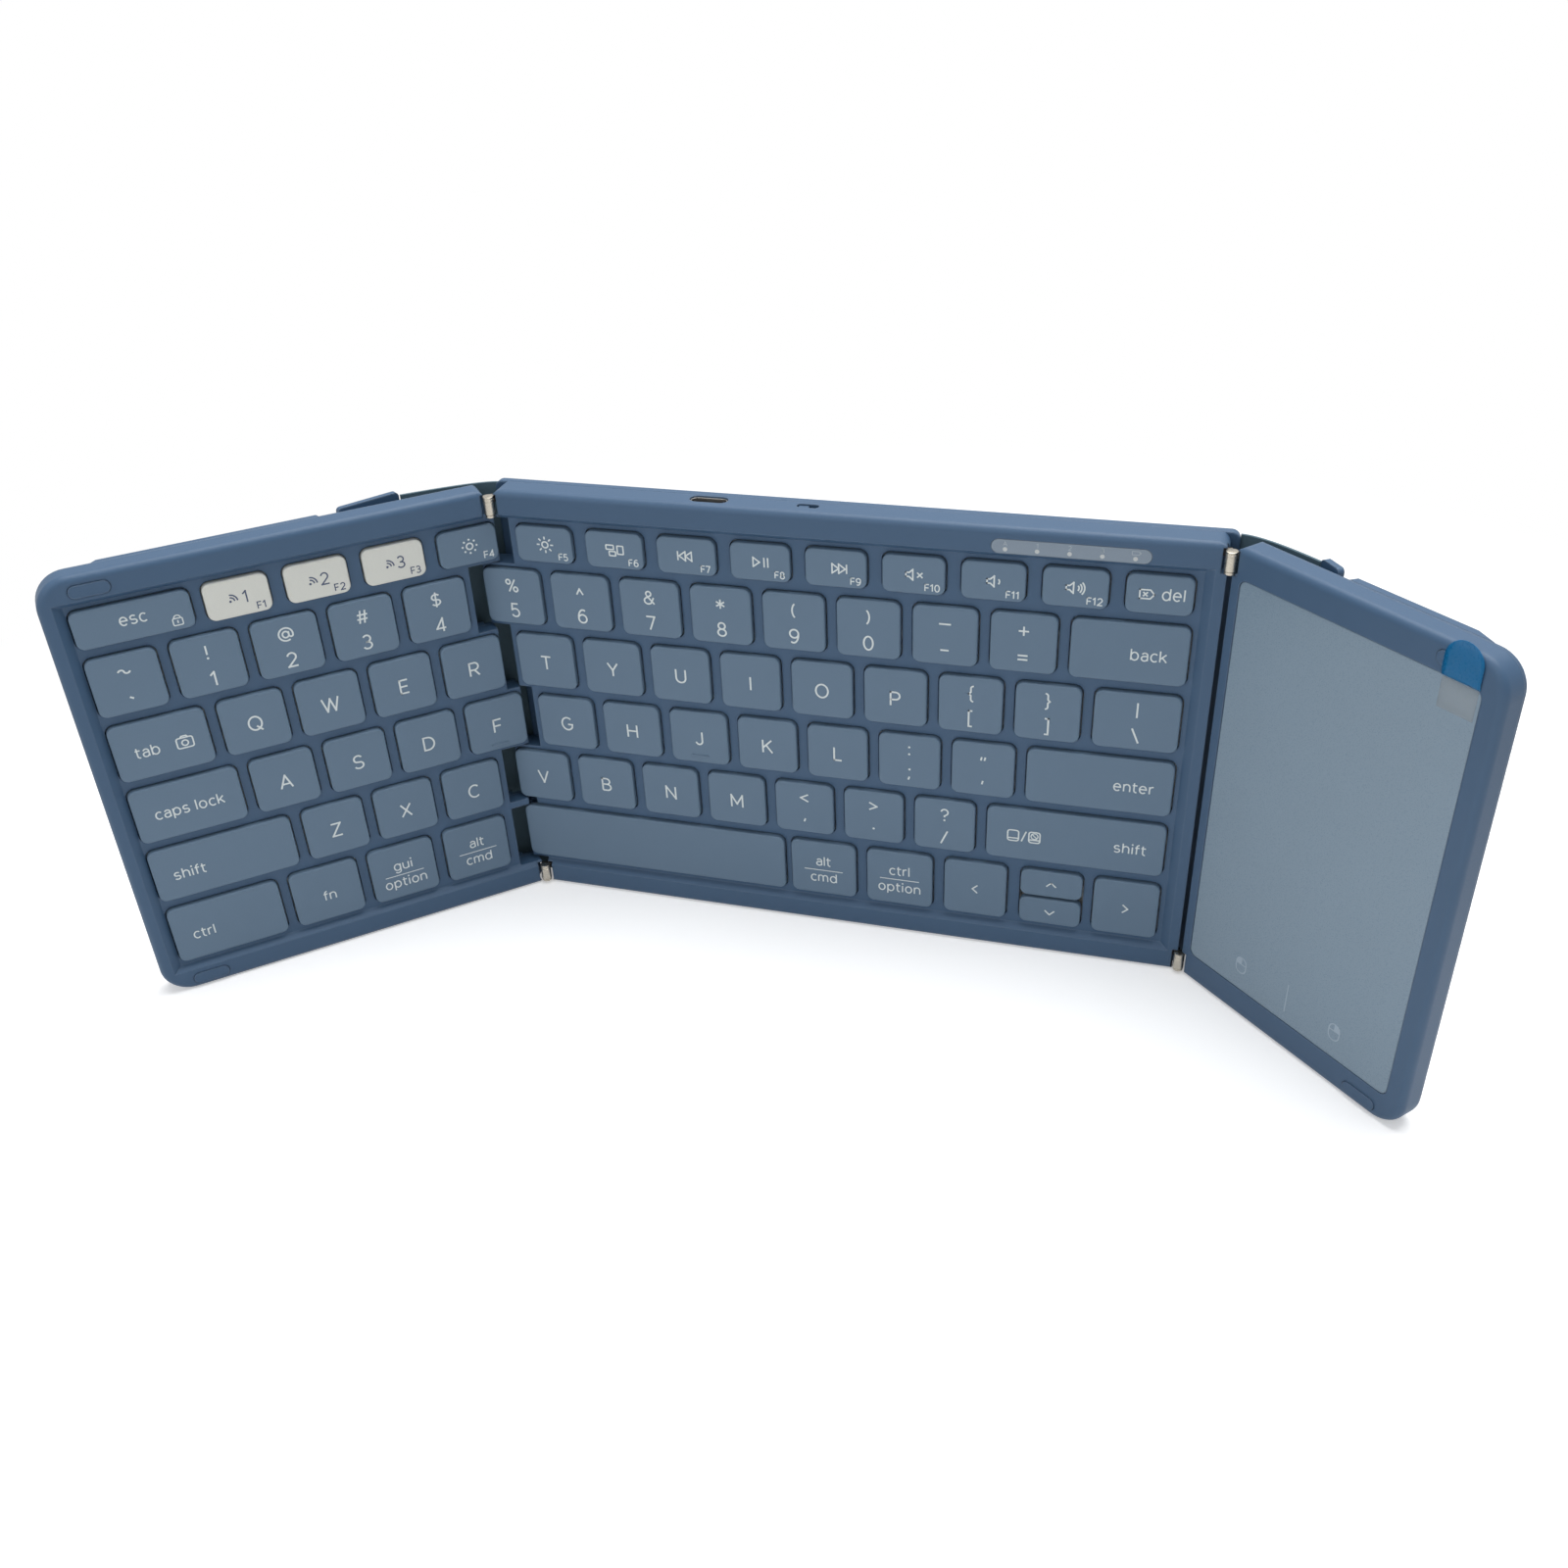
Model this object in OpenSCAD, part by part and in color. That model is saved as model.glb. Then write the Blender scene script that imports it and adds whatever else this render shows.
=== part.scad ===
// Tri-fold keyboard with a touchpad wing, standing half folded on its front edges.
// Each panel is drawn flat in its own deck frame (x to the right, y to the rear,
// z up out of the keys, rim top at z = 0) and then stood up and folded into place.

/* [Panels] */
// Distance between the two fold lines
hinge_span = 171; // [165:1:180]
// Left wing, from its fold line to its outer edge
left_wing_w = 101.6; // [96:0.1:102]
// Right wing, from its fold line to its outer edge
right_wing_w = 66.8; // [65:0.1:70]
// Rear wall, behind the centre of the number row
rear_y = 27.8; // [27:0.1:32]
// Front wall, in front of the centre of the number row
front_y = -87.4; // [-92:0.1:-86]
// Radius of the wings' outer corners, seen from above
corner_r = 7.5; // [5:0.5:12]
// Radius that rolls the top edges over
top_edge_r = 1.6; // [1:0.1:3]
// Radius that eases the bottom edges of a wing
bottom_edge_r = 2.5; // [1:0.1:3]
// Radius of the panels' corners at the fold lines, seen from above
end_r = 2.6; // [1:0.1:3]
// Thickness of a wing without its back pads
wing_t = 7.6; // [7.4:0.1:9]
// Thickness of the whole keyboard, pads and back plate counted
total_t = 9.4; // [9:0.1:12]

/* [Fold] */
// Fold of the left wing towards the keys, as photographed
left_fold = 42; // [0:1:179]
// Fold of the right wing towards the keys, as photographed
right_fold = 43; // [0:1:179]
// Height of the fold axes above the rims
axis_z = 0.35; // [0.3:0.05:0.6]
// Radius of a hinge knuckle
knuckle_r = 1.1; // [1:0.05:1.5]
// Radius of a hinge pin
pin_r = 0.6; // [0.4:0.05:0.7]
// Length of a hinge slot in the rim
hinge_slot_l = 5.8; // [5:0.1:7]

/* [Keys] */
// Key pitch along a row
pitch = 18; // [17:0.1:19]
// Row pitch from front to rear
row_pitch = 17.47; // [17:0.01:18.5]
// Height of the key tops under the rim
key_drop = 0.4; // [0.2:0.1:0.8]
// Travel of a key
travel = 1.2; // [0.8:0.1:1.3]
// Gap between a key and its well
well_gap = 0.35; // [0.3:0.05:0.5]
// Corner radius of a key cap
cap_r = 1.8; // [1:0.1:2.5]
// Depth of the key deck under the rim
deck_drop = 1.6; // [1.2:0.1:1.8]

/* [Touchpad] */
// Width of the touchpad plate
pad_w = 59.2; // [40:0.1:60]
// Length of the touchpad plate
pad_l = 100.5; // [80:0.1:101]

/* [Hidden] */
$fn = 48;

frame_blue = "#4a6a96";
key_blue = "#6a7f98";
glass_blue = "#7a8fa6";
channel_white = "#e0e2da";
steel_grey = "#a8a296";
spine_teal = "#4d6470";

// Deck heights
deck_z = -deck_drop;
web_t = 1;
web_z = deck_z - web_t;
key_top = -key_drop;
cap_t = 2;
key_bottom = key_top - cap_t;
ledge_z = key_bottom - travel - 0.3;
split_z = -5.4;
mid_frame_bottom = -6.8;
plate_t = 0.6;
sheet_t = 0.3;
dome_h = 0.75;
wall_t = 1.2;
slack = 0.3;

// Key field
key_w = 0.834 * pitch;
key_h = 14.6;
f_key_w = 0.796 * pitch;
f_key_h = 9.1;
f_pitch = 1.0046;
big_key_h = 16;
arrow_h = 7.55;
key_origin = 2.4;
f_row_y = 14.67;
mod_row_y = -70.65;
row_y = [f_row_y, 0, -row_pitch, -2 * row_pitch, -3 * row_pitch, mod_row_y];
row_h = [f_key_h, key_h, key_h, key_h, key_h, big_key_h];
arrow_y = (big_key_h - arrow_h) / 2;

// One key: centre and width along the row in key pitches, then row number
function std_keys(first, count, row) =
    [for (k = [0 : count - 1]) [first + k, key_w / pitch, row]];
function f_keys(first, count) =
    [for (k = [0 : count - 1]) [first + k * f_pitch, f_key_w / pitch, 0]];

// Left wing, row by row
esc_caps = [[-4.765, 1.41, 0]];
channel_caps = f_keys(-3.501, 3);
f4_caps = f_keys(-3.501 + 3 * f_pitch, 1);
left_number_caps = concat([[-5.045, 0.847, 1]], std_keys(-4.0405, 4, 1));
tab_caps = [[-4.872, 1.194, 2]];
left_upper_caps = std_keys(-3.69, 4, 2);
caps_lock_caps = [[-4.776, 1.389, 3]];
left_home_caps = std_keys(-3.501, 4, 3);
left_shift_caps = [[-4.532, 1.887, 4]];
left_lower_caps = std_keys(-3.004, 3, 4);
left_modifier_caps = [
    [-4.72, 1.501, 5], [-3.33, 0.952, 5], [-2.214, 0.941, 5], [-1.098, 0.935, 5]
];
left_caps = concat(
    esc_caps, channel_caps, f4_caps, left_number_caps, tab_caps, left_upper_caps,
    caps_lock_caps, left_home_caps, left_shift_caps, left_lower_caps, left_modifier_caps
);

// Middle panel, row by row
function_caps = f_keys(0.564, 9);
right_number_caps = std_keys(0, 8, 1);
back_caps = [[8.302, 1.433, 1]];
right_upper_caps = std_keys(0.355, 8, 2);
backslash_caps = [[8.475, 1.069, 2]];
right_home_caps = std_keys(0.548, 7, 3);
enter_caps = [[8.074, 1.888, 3]];
right_lower_caps = std_keys(0.047, 7, 4);
right_shift_caps = [[7.819, 2.372, 4]];
space_caps = [[1.685, 4.06, 5]];
right_modifier_caps = [[4.299, 0.947, 5], [5.416, 0.94, 5]];
side_arrow_caps = [[6.499, 0.87, 5], [8.575, 0.87, 5]];
up_down_x = 7.555;
up_down_w = 0.84;
full_middle_caps = concat(
    function_caps, right_number_caps, back_caps, right_upper_caps, backslash_caps,
    right_home_caps, enter_caps, right_lower_caps, right_shift_caps, space_caps,
    right_modifier_caps, side_arrow_caps, [[up_down_x, up_down_w, 5]]
);

// Left fold line: the front-to-rear bands where the two panels mesh, each with the
// middle panel's edge and the wing's edge, measured from the fold line
finger_rear_y = -59.9;
fold_bands = [
    // rear limit, middle edge, wing edge
    [rear_y, 0.45, -0.45],
    [20.3, 3.4, 1.1],
    [8.7, -5.4, -7],
    [-8.7, -0.4, -2.2],
    [-26.2, 3, 1.2],
    [-43.7, -4.6, -6.3],
    [finger_rear_y, -0.4, -1.2],
    [-62.3, -4.1, -6.3],
    [-80.3, 0.45, -0.45]
];
fold_gap = 0.45;
mesh_gap = 0.25;

// Deck recess edges
deck_rear_y = f_row_y + f_key_h / 2 + 1.3;
deck_front_y = mod_row_y - big_key_h / 2 - 1.6;
left_deck_x = -5.47 * pitch + key_origin - 0.45;
right_deck_x = 9.012 * pitch + key_origin + 1.4;
slope_w = 1.3;
side_slope_w = 2.1;

// Hinges
hinge_y = [23.9, -83.9];
slot_half_w = 1.8;
collar_l = 1.6;
collar_r = 1.25;
knuckle_gap = 0.3;
running_gap = 0.04;
leaf_t = 1.1;
leaf_top = -0.5;

// Back of the wings
overhang = 1.5;
relief_w = 4.2;
relief_z = -6.4;
left_flap_x = 18.2;
left_flap_w = 15.4;
right_flap_x = 14.6;
right_flap_w = 6;
flap_t = 1.5;
flap_inset = 0.2;
left_flap_tilt = 12;
right_flap_tilt = 15;
flap_gap = 0.35;
strip_t = 0.7;
strip_inset = 0.5;
plate_edge_inset = 0.1;

// Rear edge fittings, measured from the left fold line
port_x = 54.1;
port_z = -4.2;
port_w = 8.94;
port_h = 3.2;
port_depth = 6.2;
port_wall = 0.3;
board_t = 1;
bay_front_y = deck_rear_y + 0.6;
bay_l = 110;
bay_top = -1.9;
rear_wall_t = 1.4;
switch_x = 77.7;
switch_z = -4.4;
switch_slot_w = 5.2;
switch_slot_h = 2;
switch_travel = 2;
led_x = 137.6;
led_y = 23.5;
led_l = 34.6;
led_w = 3.4;
led_t = 1.3;

// Front and rear bumper pads of the wings, and the touchpad
bumper_l = 8.8;
bumper_w = 3;
bumper_rise = 0.25;
bumper_y = [24.1, -84.4];
left_bumper_x = -90.1;
right_bumper_x = 55.8;
bumper_depth = 0.8;
magnet_l = 14;
magnet_w = 3;
magnet_t = 2;
left_magnet_x = -60;
right_magnet_x = 38;
tab_x = 57.4;
tab_front_y = 21.1;
pad_x = 2.9;
pad_top = -0.15;
pad_t_plate = 1.3;
pad_board_t = 1.2;
pad_mid_y = 20.9 - pad_l / 2;

// ---- placing ----

// Deck frame of the middle panel, x = 0 at the left fold line, stood on its front wall
module in_middle() {
    translate([-hinge_span / 2, -total_t / 2, -front_y]) rotate([90, 0, 0]) children();
}

// Deck frame of the left wing, x = 0 at its fold line and the wing at negative x
module in_left_wing() {
    in_middle() translate([0, 0, axis_z]) rotate([0, left_fold, 0])
        translate([0, 0, -axis_z]) children();
}

// Deck frame of the right wing, x = 0 at its fold line and the wing at positive x
module in_right_wing() {
    in_middle() translate([hinge_span, 0, axis_z]) rotate([0, -right_fold, 0])
        translate([0, 0, -axis_z]) children();
}

// ---- shared shapes ----

// Rectangle with round corners, about its centre
module rounded_rect(w, h, r) {
    square([w - 2 * r, h], center = true);
    square([w, h - 2 * r], center = true);
    for (sx = [-1, 1], sy = [-1, 1])
        translate([sx * (w / 2 - r), sy * (h / 2 - r)]) circle(r);
}

// Upright section of a slab: rolled top edges and eased bottom edges
module slab_section(w, bottom, top, rt, rb) {
    translate([-w / 2 + rt, bottom + rb]) square([w - 2 * rt, top - bottom - rb]);
    translate([-w / 2, bottom + rb]) square([w, top - rt - bottom - rb]);
    translate([-w / 2 + rb, bottom]) square([w - 2 * rb, top - rt - bottom]);
    for (s = [-1, 1]) {
        translate([s * (w / 2 - rt), top - rt]) circle(rt);
        translate([s * (w / 2 - rb), bottom + rb]) circle(rb);
    }
}

// Slab with rolled edges all round and upright corners of radius rc
module soft_slab(x0, x1, y0, y1, bottom, top, rc, rt, rb) {
    w = x1 - x0;
    d = y1 - y0;
    translate([(x0 + x1) / 2, (y0 + y1) / 2, 0]) {
        rotate([90, 0, 90]) translate([0, 0, -(w / 2 - rc)])
            linear_extrude(w - 2 * rc) slab_section(d, bottom, top, rt, rb);
        rotate([90, 0, 0]) translate([0, 0, -(d / 2 - rc)])
            linear_extrude(d - 2 * rc) slab_section(w, bottom, top, rt, rb);
        for (sx = [-1, 1], sy = [-1, 1])
            translate([sx * (w / 2 - rc), sy * (d / 2 - rc), 0]) rotate_extrude()
                intersection() {
                    slab_section(2 * rc, bottom, top, rt, rb);
                    translate([0, bottom]) square([rc, top - bottom]);
                }
    }
}

// Edge of the left fold line, rear to front, for the middle (side 1) or the wing (side 2)
// An inset moves the edge into the panel; the thin finger is left out of an inset wing
function bands(side, inset) =
    [for (b = fold_bands) if (side == 1 || inset == 0 || b[0] != finger_rear_y) b];
function band_step(b, i, side, inset) =
    let (here = b[i][side], next = b[i + 1][side], gap = mesh_gap + inset)
    let (out = side == 1 ? here < next : here > next)
    b[i + 1][0] + (here == next ? 0 : (out ? gap : -gap));
function fold_edge(side, inset = 0) =
    let (b = bands(side, inset), last = len(b) - 1, dx = side == 1 ? inset : -inset)
    [
        for (i = [0 : last]) each [
            [b[i][side] + dx, i == 0 ? rear_y + 1 : band_step(b, i - 1, side, inset)],
            [b[i][side] + dx, i == last ? front_y - 1 : band_step(b, i, side, inset)]
        ]
    ];

// Everything on one side of the meshing fold line
module middle_side(inset = 0) {
    polygon(concat(
        fold_edge(1, inset),
        [
            [hinge_span - fold_gap - inset, front_y - 1],
            [hinge_span - fold_gap - inset, rear_y + 1]
        ]
    ));
}
module left_wing_side(inset = 0) {
    polygon(concat(
        fold_edge(2, inset),
        [[-left_wing_w - 1, front_y - 1], [-left_wing_w - 1, rear_y + 1]]
    ));
}

// Plan of a list of keys, grown all round by a gap
module key_plan(caps, grow = 0) {
    for (k = caps)
        translate([k[0] * pitch + key_origin, row_y[k[2]]])
            rounded_rect(k[1] * pitch + 2 * grow, row_h[k[2]] + 2 * grow, cap_r + grow);
}

// One key cap with a chamfered top edge
module key_cap(w, h) {
    bevel = 0.35;
    hull() {
        translate([0, 0, key_bottom]) linear_extrude(cap_t - bevel)
            rounded_rect(w, h, cap_r, $fn = 16);
        translate([0, 0, key_top - bevel]) linear_extrude(bevel)
            rounded_rect(w - 2 * bevel, h - 2 * bevel, cap_r - bevel, $fn = 16);
    }
}

// A group of separate key caps
module key_caps(caps, tint = key_blue) {
    color(tint) for (k = caps)
        translate([k[0] * pitch + key_origin, row_y[k[2]], 0])
            key_cap(k[1] * pitch, row_h[k[2]]);
}

// Sunken key deck with a soft slope round it, from x0 to x1
module deck_recess(x0, x1) {
    hull() {
        translate([x0, deck_front_y, deck_z])
            cube([x1 - x0, deck_rear_y - deck_front_y, 0.01]);
        translate([x0 - side_slope_w, deck_front_y - slope_w, 0])
            cube([x1 - x0 + 2 * side_slope_w, deck_rear_y - deck_front_y + 2 * slope_w, 1]);
    }
}

// Plan of the inner space under the keys
module key_space(x0, x1, inset = 0) {
    translate([x0 + inset, deck_front_y + inset])
        square([x1 - x0 - 2 * inset, deck_rear_y - deck_front_y - 2 * inset]);
}

// What is cut away to round a panel's corners at a fold line; side is +1 for a panel that
// lies towards +x
module end_corners(side) {
    for (s = [-1, 1])
        translate([side * fold_gap, s > 0 ? rear_y : front_y, -total_t])
            linear_extrude(total_t + 1) difference() {
                translate([side * (end_r - 1) / 2, -s * (end_r - 1) / 2])
                    square(end_r + 1, center = true);
                translate([side * end_r, -s * end_r]) circle(end_r);
            }
}

// Slots for the hinge knuckles at both ends of a fold line
module hinge_slots() {
    for (y = hinge_y)
        translate([-slot_half_w, y - hinge_slot_l / 2, -slot_half_w - knuckle_r])
            cube([2 * slot_half_w, hinge_slot_l, 3 * slot_half_w + knuckle_r]);
}

// Sheet with a rubber dome under each key
module dome_sheet(caps) {
    translate([0, 0, split_z + plate_t]) linear_extrude(sheet_t) children();
    for (k = caps)
        translate([k[0] * pitch + key_origin, row_y[k[2]], split_z + plate_t + sheet_t])
            cylinder(h = dome_h - 0.2, r1 = 2.4, r2 = 1.6);
}

// ---- middle panel ----

module middle_frame() {
    color(frame_blue) in_middle() difference() {
        intersection() {
            soft_slab(
                -10, hinge_span + 10, front_y, rear_y, mid_frame_bottom, 0,
                corner_r, top_edge_r, 0.4
            );
            translate([0, 0, mid_frame_bottom - 1]) linear_extrude(-mid_frame_bottom + 2)
                middle_side();
        }
        deck_recess(-20, right_deck_x);
        // Wells
        translate([0, 0, ledge_z]) linear_extrude(-ledge_z + 1)
            key_plan(full_middle_caps, well_gap);
        // Space for the switch plate and the travel of the caps
        translate([0, 0, mid_frame_bottom - 1])
            linear_extrude(web_z - mid_frame_bottom + 1) intersection() {
                middle_side(wall_t);
                key_space(-10, right_deck_x);
            }
        hinge_slots();
        end_corners(1);
        translate([hinge_span, 0, 0]) {
            hinge_slots();
            end_corners(-1);
        }
        // Board bay behind the keys, with its openings in the rear wall and the rim
        translate([port_x - 12, bay_front_y, mid_frame_bottom - 1])
            cube([bay_l, rear_y - rear_wall_t - bay_front_y, bay_top - mid_frame_bottom + 1]);
        translate([port_x, rear_y, port_z]) rotate([90, 0, 0])
            translate([0, 0, -1]) linear_extrude(4)
                rounded_rect(port_w + 0.3, port_h + 0.3, port_h / 2 + 0.14);
        translate([switch_x, rear_y, switch_z]) rotate([90, 0, 0])
            translate([0, 0, -1]) linear_extrude(4)
                rounded_rect(switch_slot_w, switch_slot_h, switch_slot_h / 2 - 0.01);
        translate([led_x, led_y, -led_t]) linear_extrude(2)
            rounded_rect(led_l, led_w, led_w / 2 - 0.01);
    }
}

module middle_back_plate() {
    color(frame_blue) in_middle() {
        soft_slab(
            -overhang, hinge_span + overhang,
            front_y + plate_edge_inset, rear_y - plate_edge_inset,
            -total_t, mid_frame_bottom, 2, 0.4, 0.9
        );
        // Step that fills the frame from below and carries the switch plate
        translate([0, 0, mid_frame_bottom - 0.5])
            linear_extrude(split_z - mid_frame_bottom + 0.5) intersection() {
                middle_side(wall_t + slack);
                key_space(-10, right_deck_x, slack);
            }
    }
}

module middle_switch_plate() {
    color("silver") in_middle() translate([0, 0, split_z]) linear_extrude(plate_t)
        intersection() {
            middle_side(wall_t + slack);
            key_space(-10, right_deck_x, slack);
        }
}

module middle_dome_sheet() {
    color("whitesmoke") in_middle() dome_sheet(full_middle_caps) intersection() {
        middle_side(wall_t + slack);
        key_space(-10, right_deck_x, slack);
    }
}

module controller_board() {
    color("seagreen") in_middle()
        translate([port_x - 11, bay_front_y + 0.2, mid_frame_bottom])
            cube([bay_l - 2, rear_y - rear_wall_t - bay_front_y - 0.4, board_t]);
}

module usb_c_port() {
    tongue_w = 6.69;
    tongue_t = 0.7;
    color("silver") in_middle()
        translate([port_x, rear_y - 0.3, port_z]) rotate([90, 0, 0]) {
            difference() {
                linear_extrude(port_depth) rounded_rect(port_w, port_h, port_h / 2 - 0.01);
                translate([0, 0, -1]) linear_extrude(port_depth)
                    rounded_rect(
                        port_w - 2 * port_wall, port_h - 2 * port_wall,
                        port_h / 2 - port_wall - 0.01
                    );
            }
            translate([-tongue_w / 2, -tongue_t / 2, 1])
                cube([tongue_w, tongue_t, port_depth - 1.5]);
        }
}

module led_window() {
    color("#8899a6") in_middle() translate([led_x, led_y, -led_t]) linear_extrude(led_t)
        rounded_rect(led_l - 0.1, led_w - 0.1, led_w / 2 - 0.06);
}

module power_switch() {
    knob_w = 2.4;
    color(frame_blue) in_middle()
        translate([switch_x - switch_travel / 2, rear_y, switch_z]) rotate([90, 0, 0]) {
            translate([0, 0, 0.3]) linear_extrude(2.2)
                rounded_rect(knob_w, switch_slot_h - 0.7, 0.3);
        }
}

// ---- hinges ----

// Part of a hinge: a bored knuckle of radius r from y0 to y1 with a leaf that seats on
// the slot's wall; side is +1 for a leaf towards +x
module knuckle(y0, y1, r, bore_r, side) {
    difference() {
        union() {
            translate([0, y0, axis_z]) rotate([-90, 0, 0])
                cylinder(h = y1 - y0, r = r);
            translate([side > 0 ? 0 : -slot_half_w, y0, leaf_top - leaf_t])
                cube([slot_half_w, y1 - y0, leaf_t]);
        }
        translate([0, y0 - 1, axis_z]) rotate([-90, 0, 0])
            cylinder(h = y1 - y0 + 2, r = bore_r);
    }
}

// Collars of the middle panel at the rear end of each slot
module collars(side) {
    for (y = hinge_y)
        knuckle(
            y + hinge_slot_l / 2 - knuckle_gap - collar_l, y + hinge_slot_l / 2 - knuckle_gap,
            collar_r, pin_r + 0.02, side
        );
}

// Long knuckles of a wing
module barrels(side) {
    for (y = hinge_y)
        knuckle(
            y - hinge_slot_l / 2 + knuckle_gap,
            y + hinge_slot_l / 2 - 2 * knuckle_gap - collar_l,
            knuckle_r, pin_r + running_gap, side
        );
}

module hinge_pins() {
    for (y = hinge_y)
        translate([0, y - hinge_slot_l / 2 + knuckle_gap, axis_z]) rotate([-90, 0, 0])
            cylinder(h = hinge_slot_l - 2 * knuckle_gap, r = pin_r);
}

module left_hinge_leaves() {
    color(steel_grey) in_middle() collars(1);
}

module left_hinge_pins() {
    color(steel_grey) in_middle() hinge_pins();
}

module left_hinge_knuckles() {
    color(steel_grey) in_left_wing() barrels(-1);
}

module right_hinge_leaves() {
    color(steel_grey) in_middle() translate([hinge_span, 0, 0]) collars(-1);
}

module right_hinge_pins() {
    color(steel_grey) in_middle() translate([hinge_span, 0, 0]) hinge_pins();
}

module right_hinge_knuckles() {
    color(steel_grey) in_right_wing() barrels(1);
}

// ---- parts that both wings share ----

// Bumper pads on the rim, grown by a gap to make their pockets
module bumper_pads(x, depth, rise, grow = 0) {
    for (y = bumper_y)
        translate([x, y, -depth]) linear_extrude(depth + rise)
            rounded_rect(bumper_l + 2 * grow, bumper_w + 2 * grow, bumper_w / 2 - 0.01 + grow);
}

// Closing magnets under the front and rear rims, grown by a gap for their pockets
module magnet_bars(x, grow = 0) {
    for (y = [rear_y - 3.7, front_y + 3.4])
        translate([x - magnet_l / 2 - grow, y - magnet_w / 2 - grow, split_z])
            cube([magnet_l + 2 * grow, magnet_w + 2 * grow, magnet_t + grow]);
}

// Raised pad on the back of a wing, from its inner end to the ramp at its outer end;
// side is -1 on the left wing
module back_pad(inner_x, ramp_x, outer_x, side) {
    pad_front = front_y + 2.5;
    pad_rear = rear_y - 1;
    translate([0, pad_rear, 0]) rotate([90, 0, 0]) linear_extrude(pad_rear - pad_front)
        polygon([
            [side * inner_x, -wing_t],
            [side * (inner_x + 0.6), -total_t],
            [side * ramp_x, -total_t],
            [side * outer_x, -wing_t]
        ]);
}

// Flap plate, tilted about its outer end; side is -1 on the left wing
module flap_plate(inner_x, w, tilt, side) {
    flap_front = front_y + flap_inset;
    flap_rear = rear_y - flap_inset;
    translate([side * (inner_x + w), (flap_front + flap_rear) / 2, -wing_t - flap_gap])
        rotate([0, -side * tilt, 0]) translate([-side * w / 2, 0, -flap_t])
            linear_extrude(flap_t) rounded_rect(w, flap_rear - flap_front, 1);
}

// A point of a folded wing's section in the middle panel's section, both about the
// fold line; side is -1 on the left wing
function folded(p, fold, side) =
    let (h = p[1] - axis_z)
    [
        p[0] * cos(fold) - side * h * sin(fold),
        side * p[0] * sin(fold) + h * cos(fold) + axis_z
    ];

// Soft strip from the middle back plate's end to a flap plate's inner end, bent round
// the folded panels on the way
module spine_strip(inner_x, w, tilt, fold, side) {
    edge_x = side * (inner_x + w - w * cos(tilt) - flap_gap);
    edge_z = -wing_t - flap_gap - w * sin(tilt);
    root_x = side * (overhang + 0.02);
    root_z = -total_t + 1;
    bend_x = side * 6.3;
    bend_z = root_z + 0.5;
    translate([0, rear_y - strip_inset, 0]) rotate([90, 0, 0])
        linear_extrude(rear_y - front_y - 2 * strip_inset) polygon([
            [root_x, root_z],
            [bend_x, bend_z],
            folded([edge_x, edge_z - 0.2], fold, side),
            folded([edge_x, edge_z - 0.2 - strip_t], fold, side),
            [bend_x + side * 0.3, bend_z - strip_t],
            [root_x, root_z - strip_t]
        ]);
}

// Solid wing body from its outer edge to past the fold line, cut to a height range
module wing_body(x0, x1, z0, z1) {
    intersection() {
        soft_slab(x0, x1, front_y, rear_y, -wing_t, 0, corner_r, top_edge_r, bottom_edge_r);
        translate([x0 - 1, front_y - 1, z0])
            cube([x1 - x0 + 2, rear_y - front_y + 2, z1 - z0]);
    }
}

// Room at the fold line for the middle back plate's overhang
module fold_relief(side) {
    translate([side > 0 ? -20 : -relief_w, front_y - 1, -wing_t - 1])
        cube([20 + relief_w, rear_y - front_y + 2, relief_z + wing_t + 1]);
}

// ---- left wing ----

module left_wing_frame() {
    color(frame_blue) in_left_wing() difference() {
        intersection() {
            wing_body(-left_wing_w, 20, split_z, 1);
            translate([0, 0, split_z - 1]) linear_extrude(-split_z + 2) left_wing_side();
        }
        deck_recess(left_deck_x, 30);
        translate([0, 0, ledge_z]) linear_extrude(-ledge_z + 1) key_plan(left_caps, well_gap);
        translate([0, 0, split_z - 1]) linear_extrude(web_z - split_z + 1) intersection() {
            left_wing_side(wall_t);
            key_space(left_deck_x, 20);
        }
        hinge_slots();
        end_corners(-1);
        bumper_pads(left_bumper_x, bumper_depth, 1, 0.08);
        magnet_bars(left_magnet_x, 0.1);
    }
}

module left_wing_cover() {
    color(frame_blue) in_left_wing() difference() {
        intersection() {
            wing_body(-left_wing_w, 20, -wing_t - 1, split_z);
            translate([0, 0, -wing_t - 1]) linear_extrude(wing_t) left_wing_side();
        }
        fold_relief(-1);
        end_corners(-1);
    }
}

module left_switch_plate() {
    color("silver") in_left_wing() translate([0, 0, split_z]) linear_extrude(plate_t)
        intersection() {
            left_wing_side(wall_t + slack);
            key_space(left_deck_x, 20, slack);
        }
}

module left_dome_sheet() {
    color("whitesmoke") in_left_wing() dome_sheet(left_caps) intersection() {
        left_wing_side(wall_t + slack);
        key_space(left_deck_x, 20, slack);
    }
}

module left_bumpers() {
    color(frame_blue) in_left_wing() bumper_pads(left_bumper_x, bumper_depth, bumper_rise);
}

module left_back_pad() {
    color(frame_blue) in_left_wing() back_pad(38, 87.3, 89, -1);
}

module left_magnets() {
    color("silver") in_left_wing() magnet_bars(left_magnet_x);
}

module left_flap_plate() {
    color(frame_blue) in_left_wing()
        flap_plate(left_flap_x, left_flap_w, left_flap_tilt, -1);
}

module left_spine_strip() {
    color(spine_teal) in_middle()
        spine_strip(left_flap_x, left_flap_w, left_flap_tilt, left_fold, -1);
}

// ---- right wing ----

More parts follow.
